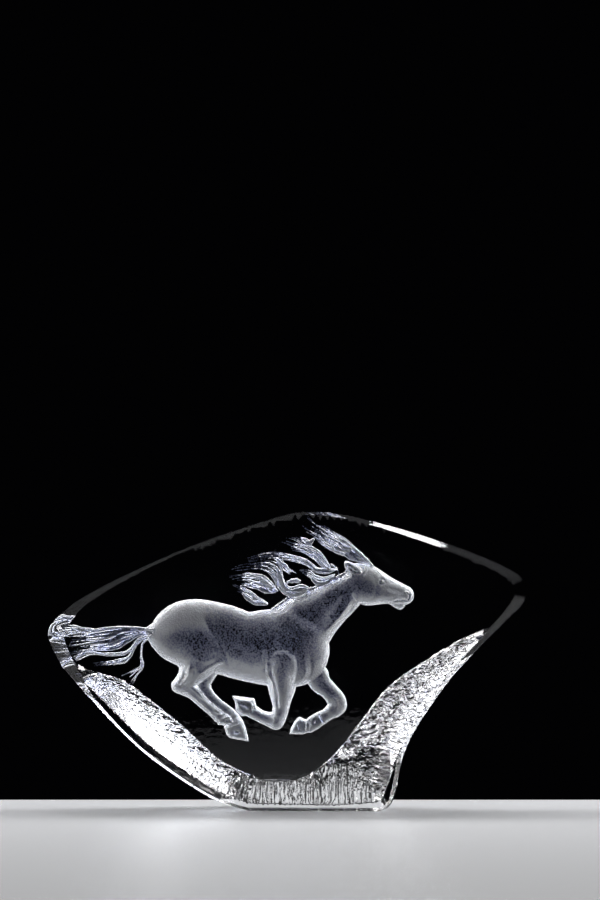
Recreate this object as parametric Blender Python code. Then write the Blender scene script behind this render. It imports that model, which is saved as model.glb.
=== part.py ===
"""A block of clear crystal with a galloping horse carved into its back.

The block stands on a flat foot. X runs along it, towards the horse's head, -Y is the polished
front and +Y the carved back. The horse is a hollow in the back, so through the front it stands
out. A hewn shoulder slopes from the back to the side wall along the block's lower sides.
"""

import bmesh
import bpy
import numpy as np
from mathutils import Vector
from mathutils.geometry import delaunay_2d_cdt

NAME = "crystal_block"

# Sizes of the block, in metres
BLOCK_LENGTH = 0.200
BLOCK_HEIGHT = 0.1245
BLOCK_DEPTH = 0.038
FRONT_LEAN = 0.006  # how much thinner the block is at its top than at its foot
FRONT_CROWN = 0.0014  # how far the polished front swells in its middle
BEVEL_WIDTH = 0.0066  # of the polished bevel round the front, at its widest
BEVEL_DEPTH = 0.0048
SHOULDER_DEPTH = 0.0205  # how far the hewn shoulder falls back from the flat, at its deepest
SHOULDER_CHIP = 0.0008  # how uneven the hewing leaves the shoulder
LEAST_WALL = 0.006  # of crystal left between the carving and the front

# Sizes of the horse, in metres
HORSE_LENGTH = 0.1127  # from the dock of the tail to the muzzle
HORSE_LEFT = 0.0406  # from the block's left tip to the dock
HORSE_FOOT = 0.0274  # from the foot of the block to the lowest hoof
HORSE_RELIEF = 0.0068  # depth of the carving where the horse is fullest
CARVING_MARGIN = 0.0022  # over which the carving runs out at the edge of the flat

# Spacing of the mesh points, in metres
RIM_STEP = 0.0030
BODY_STEP = 0.00175
HAIR_STEP = 0.00115
FIELD_STEP = 0.0030
PLAIN_STEP = 0.0085
GUARD_GAP = 0.0018  # between the plain points that are kept close round the carving
WALL_RUN = 0.0007  # over which the carving drops at its edge
SHOULDER_RINGS = 5
CHIP_SEED = 7

# The block's outline, from its left tip down, under and up again. A row is a place on a grid of
# OUTLINE_SQUARES, the bevel's width and the shoulder's fall there as shares of the greatest, and
# in squares the width of the ledge that the shoulder leaves at the rim
OUTLINE_SQUARES = (474.0, 295.0)
OUTLINE = (
    (0, 175, 1.00, 0.14, 2), (12, 145.5, 0.85, 0.14, 3), (29, 125, 0.55, 0.20, 4),
    (42, 111, 0.26, 0.50, 5), (72, 79.5, 0.14, 0.70, 6), (105, 50, 0.14, 0.70, 6),
    (155, 16.5, 0.14, 0.56, 5), (183, 4.5, 0.16, 0.50, 5), (205, 0, 0.16, 0.46, 4),
    (250, 0, 0.16, 0.46, 3), (280, 0, 0.16, 0.70, 3), (323, 0, 0.20, 1.00, 6),
    (338, 4, 0.25, 1.00, 9), (345, 20, 0.30, 0.97, 9), (351, 50, 0.30, 0.92, 4),
    (364, 79, 0.30, 0.88, 2), (395, 124.5, 0.30, 0.75, 2), (418, 150.5, 0.30, 0.50, 2),
    (434, 167, 0.35, 0.22, 2), (457, 190, 0.50, 0.07, 2), (471, 204, 0.72, 0.05, 2),
    (474, 219, 0.75, 0.05, 2), (466, 233, 0.60, 0.05, 2), (433, 249.5, 0.45, 0.05, 2),
    (372, 271.5, 0.35, 0.05, 2), (304, 290, 0.22, 0.04, 2), (260, 295, 0.18, 0.04, 2),
    (222, 288, 0.15, 0.04, 2), (130, 256, 0.16, 0.05, 2), (47, 217, 0.40, 0.08, 2),
    (14, 194.5, 0.80, 0.12, 2),
)
HEWN_FROM, HEWN_TO = 0.24, 0.42  # shares of the greatest fall between which the hewing sets in

# The edge of the flat on the back, on the same grid, from its left end down and round
FLAT = (
    (11, 175), (17, 157), (32, 140), (55, 132), (76, 125), (102, 105.5), (132, 81.5),
    (157.5, 57.5), (173.5, 45), (205.5, 30), (233, 27), (257, 31), (275.5, 44), (292, 60.5),
    (314, 90), (339, 120.5), (375, 146), (410, 167), (434, 178), (455, 199), (462, 214),
    (455, 228), (429, 242), (372, 263), (304, 281.5), (257, 288), (222, 281), (149, 255),
    (88, 230), (42, 205), (18, 187),
)

# The horse is drawn on a grid of HORSE_SQUARES from its dock to its muzzle, with the dock and the
# lowest hoof at 0. A row of a limb is its x and z, its half width and the depth of its crown
HORSE_SQUARES = 267.0
FULLEST = 14.5  # squares, the deepest crown below
BODY_EDGE = 1.6  # squares, the drop at a limb's edge
HAIR_EDGE = 0.6  # squares, the drop at a strand's edge
TRUNK = (
    (4, 109, 5.5, 5), (20, 105, 18, 9), (42, 107, 33, 12.5), (72, 102.5, 34.5, 12),
    (99, 94.5, 34, 12), (126, 93, 38, 12.5), (146, 91, 37, 12.5),
)
NECK = (
    (146, 104, 35, 12.5), (162, 121, 29.5, 11.5), (179, 133, 23.5, 10), (194, 144, 20, 9),
    (206, 153, 17, 8.5),
)
HEAD = (
    (212, 162, 15, 8.5), (220, 155.5, 19.8, 9.5), (228, 153, 17.3, 9.5), (238, 150.5, 14, 8.5),
    (249, 147.8, 11.2, 7.5), (258.3, 145, 9.4, 7),
)
CHIN = ((242, 141, 3.5, 3.5), (248, 138.5, 4.6, 4), (253.5, 136.8, 5.8, 4.5))
EAR = ((201.5, 175.5, 3, 8), (205, 173.5, 4.6, 10), (210, 170.5, 4.6, 11), (214.5, 168, 3, 10))
NEAR_THIGH = (
    (52, 94, 28, 12.2), (53, 82, 20, 12.6), (47, 70, 14, 11.5), (40, 61.5, 10, 9.5),
    (33, 55.5, 7.7, 8.5),
)
NEAR_HIND_CANNON = (
    (33, 55.5, 7.5, 8.5), (46.5, 49.5, 7.3, 8), (56.5, 39.5, 6, 7.5), (66, 31.5, 5.8, 7.5),
    (73.5, 25, 6.5, 8), (78.5, 21.5, 5.8, 7.5),
)
NEAR_HIND_HOOF = ((69.5, 23), (72, 16.5), (90, 17), (85, 26), (80, 28.5))
FAR_HIND_LEG = (
    (68, 76, 8, 5), (61, 65, 7.5, 5), (57.5, 56, 7, 5), (62, 46, 6.6, 4.5), (71, 37, 6, 4.5),
    (80, 30.5, 6, 4.5), (86, 24, 6.5, 5), (89, 19, 7.5, 5),
)
FAR_HIND_HOOF = (
    (78, 14.5), (81, 6), (84, 3.4), (102.8, 0), (100.5, 11), (96.7, 21), (90, 26),
)
NEAR_ARM = (
    (137, 80, 17, 14), (135.5, 66, 15.5, 13), (135.5, 54, 13.8, 11.5), (135, 45, 11, 10),
    (134.8, 34.5, 8.4, 9), (132.5, 25.5, 8, 8.5), (129.5, 20, 8.5, 8.5),
)
NEAR_FORE_CANNON = (
    (129.5, 20, 8.4, 8.5), (116, 24.3, 6.2, 7.5), (107.5, 29, 6.6, 7.5), (101, 33, 7, 7.5),
)
NEAR_FORE_HOOF = (
    (85.7, 45.5), (107.9, 42.8), (110.5, 35.5), (105, 26), (95, 25), (89.5, 31.2), (89.3, 38),
)
FAR_ARM = (
    (170, 66, 12, 6), (174, 58, 10.5, 5.5), (182, 50.5, 8.8, 5.5), (188.5, 42.5, 9.2, 5.5),
    (190.6, 36, 9.4, 6), (187.5, 31.5, 8.3, 6),
)
FAR_FORE_CANNON = (
    (188, 32, 8, 5.5), (180.5, 26.5, 6.4, 5), (170.5, 20.5, 7.3, 5.5), (163, 15.4, 6.9, 5),
)
FAR_FORE_HOOF = (
    (152.7, 24.6), (161, 21), (162, 9), (157, 7.2), (143.1, 7.4), (144.5, 13.2), (147.9, 19.4),
)
LIMBS = (
    TRUNK, NECK, HEAD, CHIN, EAR, NEAR_THIGH, NEAR_HIND_CANNON, FAR_HIND_LEG, NEAR_ARM,
    NEAR_FORE_CANNON, FAR_ARM, FAR_FORE_CANNON,
)
# A hoof's corners, the depth of its crown, and how far in from its edge that depth is reached
HOOVES = (
    (NEAR_HIND_HOOF, 8.0, 4.0), (FAR_HIND_HOOF, 6.5, 5.0),
    (NEAR_FORE_HOOF, 8.5, 5.0), (FAR_FORE_HOOF, 6.0, 4.0),
)

# A lock of hair fans out between two edges, each a row of places from root to tips. Then come its
# number of strands, their half width at the root and at the tip, and the depth of their crown
LOCKS = (
    (((219.5, 181), (213, 188), (205, 194), (199, 199), (190, 205), (178, 214), (165, 223)),
     ((198, 177), (190, 180), (182, 185), (175, 191), (170, 198), (163, 203), (154, 208)),
     5, 3.2, 1.5, 5.5),
    (((184, 172), (178, 183), (169, 191), (162, 198), (152.8, 202.5), (141, 204)),
     ((188, 164), (175, 171), (163, 180), (154, 186), (145, 190), (136.5, 193)),
     3, 3.2, 1.5, 6.0),
    (((172, 160), (164, 169), (157, 178), (147, 184), (134, 187.5), (120, 187), (99, 179)),
     ((180, 151), (167, 158), (158, 168), (148, 177), (135, 181), (117, 178), (91, 174)),
     3, 3.6, 1.5, 6.5),
    (((162, 153), (150, 152.5), (141, 154), (136, 162), (129, 172), (115, 176), (90, 171.5)),
     ((153, 143), (140, 145.5), (130, 151), (121, 157), (113, 162), (103, 164), (88, 163)),
     3, 3.6, 1.5, 7.0),
    (((131, 149), (118, 152), (107, 156), (98, 159), (87, 162)),
     ((122, 136), (113, 136.5), (106, 139.5), (99, 144), (92, 149)),
     3, 2.4, 1.4, 5.0),
    (((6, 110), (-10, 111), (-29, 111.5), (-48, 109), (-64, 109.5), (-78, 110)),
     ((5, 106), (-8, 103), (-17, 96), (-29, 91), (-52, 89), (-70, 84)),
     5, 2.8, 2.0, 6.0),
    (((5, 105), (-8, 101), (-14, 92), (-24, 87), (-40, 86), (-56, 87), (-68, 80)),
     ((3, 104), (-11, 97), (-16, 86), (-23, 82), (-34, 80), (-42, 78), (-50, 76)),
     2, 2.0, 1.5, 5.0),
    (((2, 103), (-5, 96), (-5, 86), (-4, 79), (-7, 74), (-14, 71), (-21, 67)),
     ((2.5, 102), (-4, 95), (-4, 85), (-3, 78), (-5, 72), (-9, 66), (-11.5, 59)),
     1, 1.6, 1.3, 4.0),
)
SPLINE_SPANS = 12
LIMB_SPANS = 6
STRAND_SPANS = 2


def spline(rows, spans, closed=False):
    """Points on a smooth curve through the rows, spans of them from each row to the next."""
    rows = np.array(rows, float)
    before = rows[-1:] if closed else 2 * rows[:1] - rows[1:2]
    after = rows[:2] if closed else 2 * rows[-1:] - rows[-2:-1]
    knots = np.vstack([before, rows, after])
    t = (np.arange(spans) / spans)[:, None]
    runs = [0.5 * (2 * b + (c - a) * t + (2 * a - 5 * b + 4 * c - d) * t**2
                   + (3 * b - a - 3 * c + d) * t**3)
            for a, b, c, d in zip(knots, knots[1:], knots[2:], knots[3:])]
    return np.vstack(runs if closed else [*runs, rows[-1:]])


def even_loop(rows, step):
    """The smooth closed curve through the rows, with its points a step apart in x and z."""
    fine = spline(rows, 2 * SPLINE_SPANS, closed=True)
    loop = np.vstack([fine, fine[:1]])
    run = np.concatenate([[0], np.cumsum(np.hypot(*np.diff(loop[:, :2], axis=0).T))])
    places = np.linspace(0, run[-1], int(round(run[-1] / step)), endpoint=False)
    return np.stack([np.interp(places, run, column) for column in loop.T], axis=1)


def signed_distance(places, corners):
    """Distance from a closed outline of many corners, negative inside it."""
    far = np.full(len(places), np.inf)
    inside = np.zeros(len(places), bool)
    for start, end in zip(corners, np.roll(corners, -1, axis=0)):
        edge = end - start
        share = np.clip(((places - start) @ edge) / (edge @ edge), 0, 1)
        far = np.minimum(far, np.hypot(*(places - start - share[:, None] * edge).T))
        rise = edge[1] if edge[1] else 1.0
        crosses = (start[1] > places[:, 1]) != (end[1] > places[:, 1])
        inside ^= crosses & (places[:, 0] < start[0] + (places[:, 1] - start[1]) * edge[0] / rise)
    return np.where(inside, -far, far)


class Block:
    """The block's rim and the edge of the flat on its back, seen from the front, in metres."""

    def __init__(self):
        scale = np.array([BLOCK_LENGTH, BLOCK_HEIGHT]) / OUTLINE_SQUARES
        rows = [(*(np.array(row[:2]) * scale), *row[2:]) for row in OUTLINE]
        rim = even_loop(rows, RIM_STEP)
        size = np.array([BLOCK_LENGTH, BLOCK_HEIGHT])
        low, high = rim[:, :2].min(0), rim[:, :2].max(0)
        self.rim = (rim[:, :2] - low) / (high - low) * size
        self.rim[self.rim[:, 1] < BLOCK_HEIGHT / 250, 1] = 0
        flat = even_loop(np.array(FLAT, float) * scale, FIELD_STEP)
        self.flat = (flat - low) / (high - low) * size
        middle = np.array([BLOCK_LENGTH / 2, 0])
        self.rim, self.flat = self.rim - middle, self.flat - middle
        along = np.roll(self.rim, -1, axis=0) - np.roll(self.rim, 1, axis=0)
        along /= np.hypot(*along.T)[:, None]
        self.inward = np.stack([-along[:, 1], along[:, 0]], axis=1)
        self.bevel = BEVEL_WIDTH * rim[:, 2]
        self.fall = SHOULDER_DEPTH * rim[:, 3]
        self.ledge = scale[0] * rim[:, 4]
        self.hewn = np.clip((rim[:, 3] - HEWN_FROM) / (HEWN_TO - HEWN_FROM), 0, 1)

    def nearest(self, places):
        """For each place, the nearest point of the rim."""
        apart = places[:, None, :] - self.rim[None, :, :]
        return (apart**2).sum(2).argmin(1)

    def from_rim(self, places):
        return -signed_distance(places, self.rim)

    def bevel_ring(self, share):
        """The rim moved inwards by a share of the bevel, less what would fold over."""
        moved = self.rim + self.inward * self.bevel[:, None] * share
        return moved[self.from_rim(moved) > 0.92 * share * self.bevel]

    def shoulder_ring(self, share):
        """Points a share of the way from the inner edge of the ledge to the edge of the flat."""
        edge = self.rim + self.inward * self.ledge[:, None]
        apart = edge[:, None, :] - self.flat[None, :, :]
        ring = edge + (self.flat[(apart**2).sum(2).argmin(1)] - edge) * share
        return ring[self.from_rim(ring) > 0.92 * self.ledge]

    def front(self, places):
        """The front's y: a leaning face with a slight swell, and the bevel round it."""
        far, near = np.maximum(self.from_rim(places), 0), self.nearest(places)
        slope = np.clip(1 - far / self.bevel[near], 0, 1) * self.bevel[near] / BEVEL_WIDTH
        lean = FRONT_LEAN * places[:, 1] / BLOCK_HEIGHT
        swell = FRONT_CROWN * (1 - np.clip(far / (BLOCK_HEIGHT * 0.45), 0, 1)) ** 2
        return lean + swell + BEVEL_DEPTH * slope

    def back(self, places, chips):
        """The back's y without the carving: a flat, the shoulder that falls away, and a ledge."""
        near = self.nearest(places)
        over = np.maximum(self.from_rim(places) - self.ledge[near], 0)
        from_flat = np.maximum(signed_distance(places, self.flat), 0)
        share = np.where(from_flat > 0, over / np.maximum(over + from_flat, 1e-9), 1)
        rough = SHOULDER_CHIP * chips * self.hewn[near] * np.clip(4 * share * (1 - share), 0, 1)
        return BLOCK_DEPTH - self.fall[near] * (1 - share) ** 1.15 - rough


class Horse:
    """The carving, on its own grid: how deep it is, and how far a place is from its edge."""

    def __init__(self):
        self.square = HORSE_LENGTH / HORSE_SQUARES
        self.dock = np.array([HORSE_LEFT - BLOCK_LENGTH / 2, HORSE_FOOT])
        self.limbs = [spline(rows, LIMB_SPANS) for rows in LIMBS]
        self.strands = [strand for lock in LOCKS for strand in lock_lines(lock)[1::2]]

    def on_grid(self, places):
        return (places - self.dock) / self.square

    def off_grid(self, places):
        return places * self.square + self.dock

    def sweep(self, places, limbs, edge):
        """Distance from the edge of limbs, and their depth, each a run of round stations."""
        far, depth = np.full(len(places), np.inf), np.zeros(len(places))
        for stations in limbs:
            reach = stations[:, 2].max() + 8
            low, high = stations[:, :2].min(0) - reach, stations[:, :2].max(0) + reach
            some = np.flatnonzero(((places > low) & (places < high)).all(1))
            here = places[some]
            for start, end in zip(stations, stations[1:]):
                run = end - start
                share = np.clip((here - start[:2]) @ run[:2] / (run[:2] @ run[:2]), 0, 1)
                gone = np.hypot(*(here - start[:2] - share[:, None] * run[:2]).T)
                half, crown = start[2] + share * run[2], start[3] + share * run[3]
                dome = np.sqrt(np.clip(1 - (gone / half) ** 2, 0, 1))
                far[some] = np.minimum(far[some], gone - half)
                swell = np.where(gone < half, edge + (crown - edge) * dome, 0)
                depth[some] = np.maximum(depth[some], swell)
        return far, depth

    def read(self, places):
        """Distances from the body's edge and from the hair's, and the depth, all in squares."""
        hair, depth = self.sweep(places, self.strands, HAIR_EDGE)
        body, swell = self.sweep(places, self.limbs, BODY_EDGE)
        depth = np.maximum(depth, swell)
        for corners, crown, run in HOOVES:
            away = signed_distance(places, np.array(corners, float))
            body = np.minimum(body, away)
            share = np.clip(-away / run, 0, 1)
            hoof = BODY_EDGE + (crown - BODY_EDGE) * np.sqrt(1 - (1 - share) ** 2)
            depth = np.where(away < 0, np.maximum(depth, hoof), depth)
        return body, hair, depth

    def edge(self, places):
        """Distances from the edge of the carving, and the direction that leads out of it."""
        nudge = 0.05
        steps = np.array([(0, 0), (nudge, 0), (0, nudge)])
        here, right, up = (np.minimum(*self.read(places + step)[:2]) for step in steps)
        slope = np.stack([right - here, up - here], axis=1) / nudge
        return here, slope / np.maximum(np.hypot(*slope.T), 0.5)[:, None]

    def snapped(self, places):
        """Places near the carving's edge, moved onto it, and the directions out of it."""
        for _ in range(2):
            far, out = self.edge(places)
            places = places - far[:, None] * out
        return places, self.edge(places)[1]


def lock_lines(lock):
    """A lock's lines from root to tips: its strands' middles, and the valleys on both sides."""
    upper, lower, count, root, tip, crown = lock
    along = np.linspace(0, 1, max(len(upper), len(lower)) + 1)[:, None]
    edges = [spline(edge, SPLINE_SPANS) for edge in (upper, lower)]
    first, last = (
        np.stack([np.interp(along[:, 0], np.linspace(0, 1, len(edge)), column)
                  for column in edge.T], axis=1) for edge in edges)
    taper = np.hstack([root + (tip - root) * along, crown * (1 - 0.5 * along)])
    shares = np.arange(2 * count + 1) / (2 * count)
    lines = (np.hstack([first * (1 - share) + last * share, taper]) for share in shares)
    return [spline(line, STRAND_SPANS) for line in lines]


def lattice(low, high, step):
    """Places a step apart over a box, in rows that stand off each other."""
    rows = np.arange(low[1], high[1], step * 0.866)
    columns = np.arange(low[0], high[0], step)
    x, z = np.meshgrid(columns, rows)
    x = x + (np.arange(len(rows)) % 2)[:, None] * step / 2
    return np.column_stack([x.ravel(), z.ravel()])


def spread(groups, cell=0.0025):
    """The places of each group in turn that keep the group's gap from all those before them.

    A group whose gap is under 0 is kept whole.
    """
    cells, kept = {}, []
    for places, gap in groups:
        reach = int(gap / cell) + 1
        for x, z in places:
            column, row = int(x // cell), int(z // cell)
            near = (place for i in range(column - reach, column + reach + 1)
                    for j in range(row - reach, row + reach + 1)
                    for place in cells.get((i, j), ()))
            if gap < 0 or all((x - a) ** 2 + (z - b) ** 2 > gap**2 for a, b in near):
                cells.setdefault((column, row), []).append((x, z))
                kept.append((x, z))
    return np.array(kept)


def triangles(loops, chains, others):
    """A triangle mesh over the first loop: its places, its faces and where that loop's points are.

    Every loop and every chain keeps its own edges.
    """
    edges, count = [], 0
    for line, closed in [(loop, 1) for loop in loops] + [(chain, 0) for chain in chains]:
        last = len(line) - 1 + closed
        edges += [(count + k, count + (k + 1) % len(line)) for k in range(last)]
        count += len(line)
    places = [Vector(place) for place in np.vstack([*loops, *chains, others])]
    made = delaunay_2d_cdt(places, edges, [], 1, 1e-7)
    flat = np.array([[vertex.x, vertex.y] for vertex in made[0]])
    found = {origin: k for k, origins in enumerate(made[3]) for origin in origins}
    return flat, made[2], [found[k] for k in range(len(loops[0]))]


def front_mesh(block):
    """The polished front as places, faces and the rim's points."""
    low, high = block.rim.min(0), block.rim.max(0)
    middle = lattice(low, high, PLAIN_STEP)
    middle = middle[block.from_rim(middle) > BEVEL_WIDTH]
    rings = [(block.rim, -1), (block.bevel_ring(1.0), RIM_STEP / 5),
             (block.bevel_ring(0.5), RIM_STEP / 3), (middle, PLAIN_STEP / 2)]
    others = spread(rings)[len(block.rim):]
    flat, faces, rim = triangles([block.rim], [], others)
    y = block.front(flat)
    return np.column_stack([flat[:, 0], y - y.min(), flat[:, 1]]), faces, rim


def carving_places(block, horse):
    """Groups of places that the carving needs, each with the gap that it keeps."""
    low, high = block.rim.min(0), block.rim.max(0)
    fine = horse.on_grid(lattice(low, high, HAIR_STEP / 2))
    body, hair, _ = horse.read(fine)
    near = HAIR_STEP / 2 / horse.square
    edge, out = horse.snapped(fine[(np.abs(body) < near) & (hair > 0)])
    wall = edge - out * WALL_RUN / horse.square
    hair_edge, _ = horse.snapped(fine[(np.abs(hair) < near) & (body > 0)])
    guard = fine[(hair > near) & (hair < 3 * near) & (body > 6 * near)]
    wide_guard = fine[(body > 2.5 * near) & (body < 4.5 * near) & (hair > 3 * near)]
    coarse = horse.on_grid(lattice(low, high, BODY_STEP))
    body, hair, _ = horse.read(coarse)
    inside = coarse[(body < -WALL_RUN / horse.square) & (hair > 0)]
    valleys = np.vstack([line[::2, :2] for lock in LOCKS for line in lock_lines(lock)[2:-1:2]])
    found = [(edge, 0.55 * BODY_STEP), (hair_edge, 0.75 * HAIR_STEP), (wall, 0.6 * WALL_RUN),
             (valleys, HAIR_STEP / 3), (inside, 0.6 * BODY_STEP), (guard, GUARD_GAP),
             (wide_guard, 1.5 * GUARD_GAP)]
    found = [(horse.off_grid(places), gap) for places, gap in found]
    return [(places[signed_distance(places, block.flat) < 0], gap) for places, gap in found]


def ridge_chains(block, horse):
    """The middle line of each strand and its tip, as far as it stays on the flat."""
    chains = []
    for strand in horse.strands:
        ahead = strand[-1, :2] - strand[-2, :2]
        tip = strand[-1, :2] + ahead / np.hypot(*ahead) * (strand[-1, 2] + 0.1)
        chain = horse.off_grid(np.vstack([strand[::2, :2], tip]))
        out = np.flatnonzero(signed_distance(chain, block.flat) > -CARVING_MARGIN / 2)
        chain = chain[:out[0]] if len(out) else chain
        if len(chain) > 1:
            chains.append(chain)
    return chains


def back_mesh(block, horse):
    """The carved back as places, faces and the rim's points."""
    shares = np.arange(1, SHOULDER_RINGS) / SHOULDER_RINGS
    rings = [(block.shoulder_ring(0), RIM_STEP / 5)]
    rings += [(block.shoulder_ring(share), RIM_STEP / 2) for share in shares]
    plain = lattice(block.rim.min(0), block.rim.max(0), PLAIN_STEP)
    plain = plain[signed_distance(plain, block.flat) < -PLAIN_STEP / 3]
    loops, chains = [block.rim, block.flat], ridge_chains(block, horse)
    fixed = np.vstack([*loops, *chains])
    groups = [(fixed, -1), *carving_places(block, horse), *rings, (plain, PLAIN_STEP / 2)]
    flat, faces, rim = triangles(loops, chains, spread(groups)[len(fixed):])
    body, hair, depth = horse.read(horse.on_grid(flat))
    edge = np.where(hair < 0, hair, body) * horse.square
    depth = np.where(edge > -WALL_RUN / 2, 0, depth) * HORSE_RELIEF / FULLEST
    room = np.clip(-signed_distance(flat, block.flat) / CARVING_MARGIN, 0, 1)
    chips = np.random.default_rng(CHIP_SEED).uniform(-1, 1, len(flat))
    y = block.back(flat, chips)
    depth = np.minimum(depth * room, y - block.front(flat) - LEAST_WALL)
    return np.column_stack([flat[:, 0], y - np.maximum(depth, 0), flat[:, 1]]), faces, rim


def block_mesh():
    """The closed mesh of the whole block: front, back and the side wall between their rims."""
    block = Block()
    front, front_faces, front_rim = front_mesh(block)
    back, back_faces, back_rim = back_mesh(block, Horse())
    places = np.vstack([front, back])
    places[:, 1] -= (places[:, 1].min() + places[:, 1].max()) / 2
    shift = len(front)
    mesh = bmesh.new()
    vertices = [mesh.verts.new(place) for place in places]
    for face in front_faces:
        mesh.faces.new([vertices[k] for k in face])
    for face in back_faces:
        mesh.faces.new([vertices[k + shift] for k in reversed(face)])
    for k in range(len(front_rim)):
        after = (k + 1) % len(front_rim)
        mesh.faces.new([
            vertices[front_rim[after]], vertices[front_rim[k]],
            vertices[back_rim[k] + shift], vertices[back_rim[after] + shift]])
    bmesh.ops.recalc_face_normals(mesh, faces=mesh.faces)
    bmesh.ops.triangulate(mesh, faces=mesh.faces)
    made = bpy.data.meshes.new(NAME)
    mesh.to_mesh(made)
    mesh.free()
    return made


def crystal():
    """Clear crystal, faintly blue."""
    material = bpy.data.materials.new("clear_crystal")
    material.use_nodes = True
    shader = material.node_tree.nodes["Principled BSDF"]
    shader.inputs["Base Color"].default_value = (0.93, 0.96, 1.0, 1.0)
    shader.inputs["Roughness"].default_value = 0.03
    shader.inputs["Metallic"].default_value = 0.0
    shader.inputs["Transmission Weight"].default_value = 1.0
    shader.inputs["IOR"].default_value = 1.54
    return material


def main():
    for old in list(bpy.data.objects):
        bpy.data.objects.remove(old)
    parts = bpy.data.collections.new("crystal_horse_sculpture")
    bpy.context.scene.collection.children.link(parts)
    block = bpy.data.objects.new(NAME, block_mesh())
    block.data.materials.append(crystal())
    parts.objects.link(block)
    print("triangles", len(block.data.polygons))


main()
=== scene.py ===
"""A standing block of clear crystal with a frosted galloping horse sunk into its back.

The block is one closed piece. Its polished front has a crisp bevel, its back is flat with the
horse carved into it, and a hewn shoulder slopes away from the flat along the lower sides. Seen
through the front, the hollow of the carving stands out like a relief.
"""

from __future__ import annotations

import logging
import math
from dataclasses import dataclass, field
from enum import IntEnum

import bpy
import numpy as np
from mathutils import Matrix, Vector
from mathutils.geometry import delaunay_2d_cdt

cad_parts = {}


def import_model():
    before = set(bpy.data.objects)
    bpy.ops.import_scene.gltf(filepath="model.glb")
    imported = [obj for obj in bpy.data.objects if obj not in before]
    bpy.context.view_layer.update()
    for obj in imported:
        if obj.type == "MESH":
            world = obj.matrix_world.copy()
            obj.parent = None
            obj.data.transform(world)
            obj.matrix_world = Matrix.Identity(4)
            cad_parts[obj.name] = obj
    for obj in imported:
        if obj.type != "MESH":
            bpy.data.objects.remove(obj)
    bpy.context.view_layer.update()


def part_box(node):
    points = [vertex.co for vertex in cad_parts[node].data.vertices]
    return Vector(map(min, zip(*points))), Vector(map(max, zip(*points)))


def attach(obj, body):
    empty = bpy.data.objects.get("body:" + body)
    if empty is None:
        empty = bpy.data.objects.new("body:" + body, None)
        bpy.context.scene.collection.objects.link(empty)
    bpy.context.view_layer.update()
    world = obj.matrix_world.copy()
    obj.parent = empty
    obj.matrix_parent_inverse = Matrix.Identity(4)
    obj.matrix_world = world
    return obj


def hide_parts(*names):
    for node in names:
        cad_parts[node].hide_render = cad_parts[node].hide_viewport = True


log = logging.getLogger("crystal_horse")

NODE = "crystal_block"

Row = tuple[float, ...]
Rows = tuple[Row, ...]
Colour = tuple[float, float, float, float]


class Finish(IntEnum):
    """The finishes of the block's surface, as the numbers kept on its faces."""

    POLISHED = 0
    FROSTED = 1
    HEWN = 2


# Curves and distances

TINY = 1e-9  # keeps a division from going by nothing
MERGE = 1e-8  # distance under which two places are one
ROW_STEP = 0.866  # between rows that stand off each other, as a share of the step


def spline(rows: Rows | np.ndarray, spans: int, closed: bool = False) -> np.ndarray:
    """Smooth curve through rows of numbers.

    Args:
        rows: The rows that the curve passes through.
        spans: Steps from each row to the next.
        closed: Whether the last row leads back to the first.

    Returns:
        The curve's rows, with the last one included where it is open.
    """
    rows = np.array(rows, float)
    before = rows[-1:] if closed else 2 * rows[:1] - rows[1:2]
    after = rows[:2] if closed else 2 * rows[-1:] - rows[-2:-1]
    knots = np.vstack([before, rows, after])
    t = (np.arange(spans) / spans)[:, None]
    runs = [
        0.5 * (2 * b + (c - a) * t + (2 * a - 5 * b + 4 * c - d) * t**2
               + (3 * b - a - 3 * c + d) * t**3)
        for a, b, c, d in zip(knots, knots[1:], knots[2:], knots[3:])
    ]
    return np.vstack(runs if closed else [*runs, rows[-1:]])


def even_loop(rows: Rows | np.ndarray, step: float) -> np.ndarray:
    """Closed smooth curve with its points an even step apart.

    Args:
        rows: Rows that start with a place in two numbers.
        step: Distance between neighbouring points.

    Returns:
        The points, with the rows' other numbers carried along.
    """
    fine = spline(rows, 24, closed=True)
    loop = np.vstack([fine, fine[:1]])
    run = np.concatenate([[0], np.cumsum(np.hypot(*np.diff(loop[:, :2], axis=0).T))])
    places = np.linspace(0, run[-1], int(round(run[-1] / step)), endpoint=False)
    return np.stack([np.interp(places, run, column) for column in loop.T], axis=1)


@dataclass(frozen=True)
class Ramp:
    """An even run of one value while another goes from a start to an end.

    Attributes:
        start: Where the run starts.
        end: Where the run ends.
        low: The value up to the start.
        high: The value from the end on.
    """

    start: float
    end: float
    low: float = 0.0
    high: float = 1.0

    def of(self, value: np.ndarray) -> np.ndarray:
        """The run's values for values of the other."""
        share = np.clip((value - self.start) / (self.end - self.start), 0, 1)
        return self.low + (self.high - self.low) * share


def inset(away: np.ndarray, width: float) -> np.ndarray:
    """Shares that grow from 0 to 1 over a width, for distances from an edge."""
    return np.clip(away / width, 0, 1)


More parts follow.
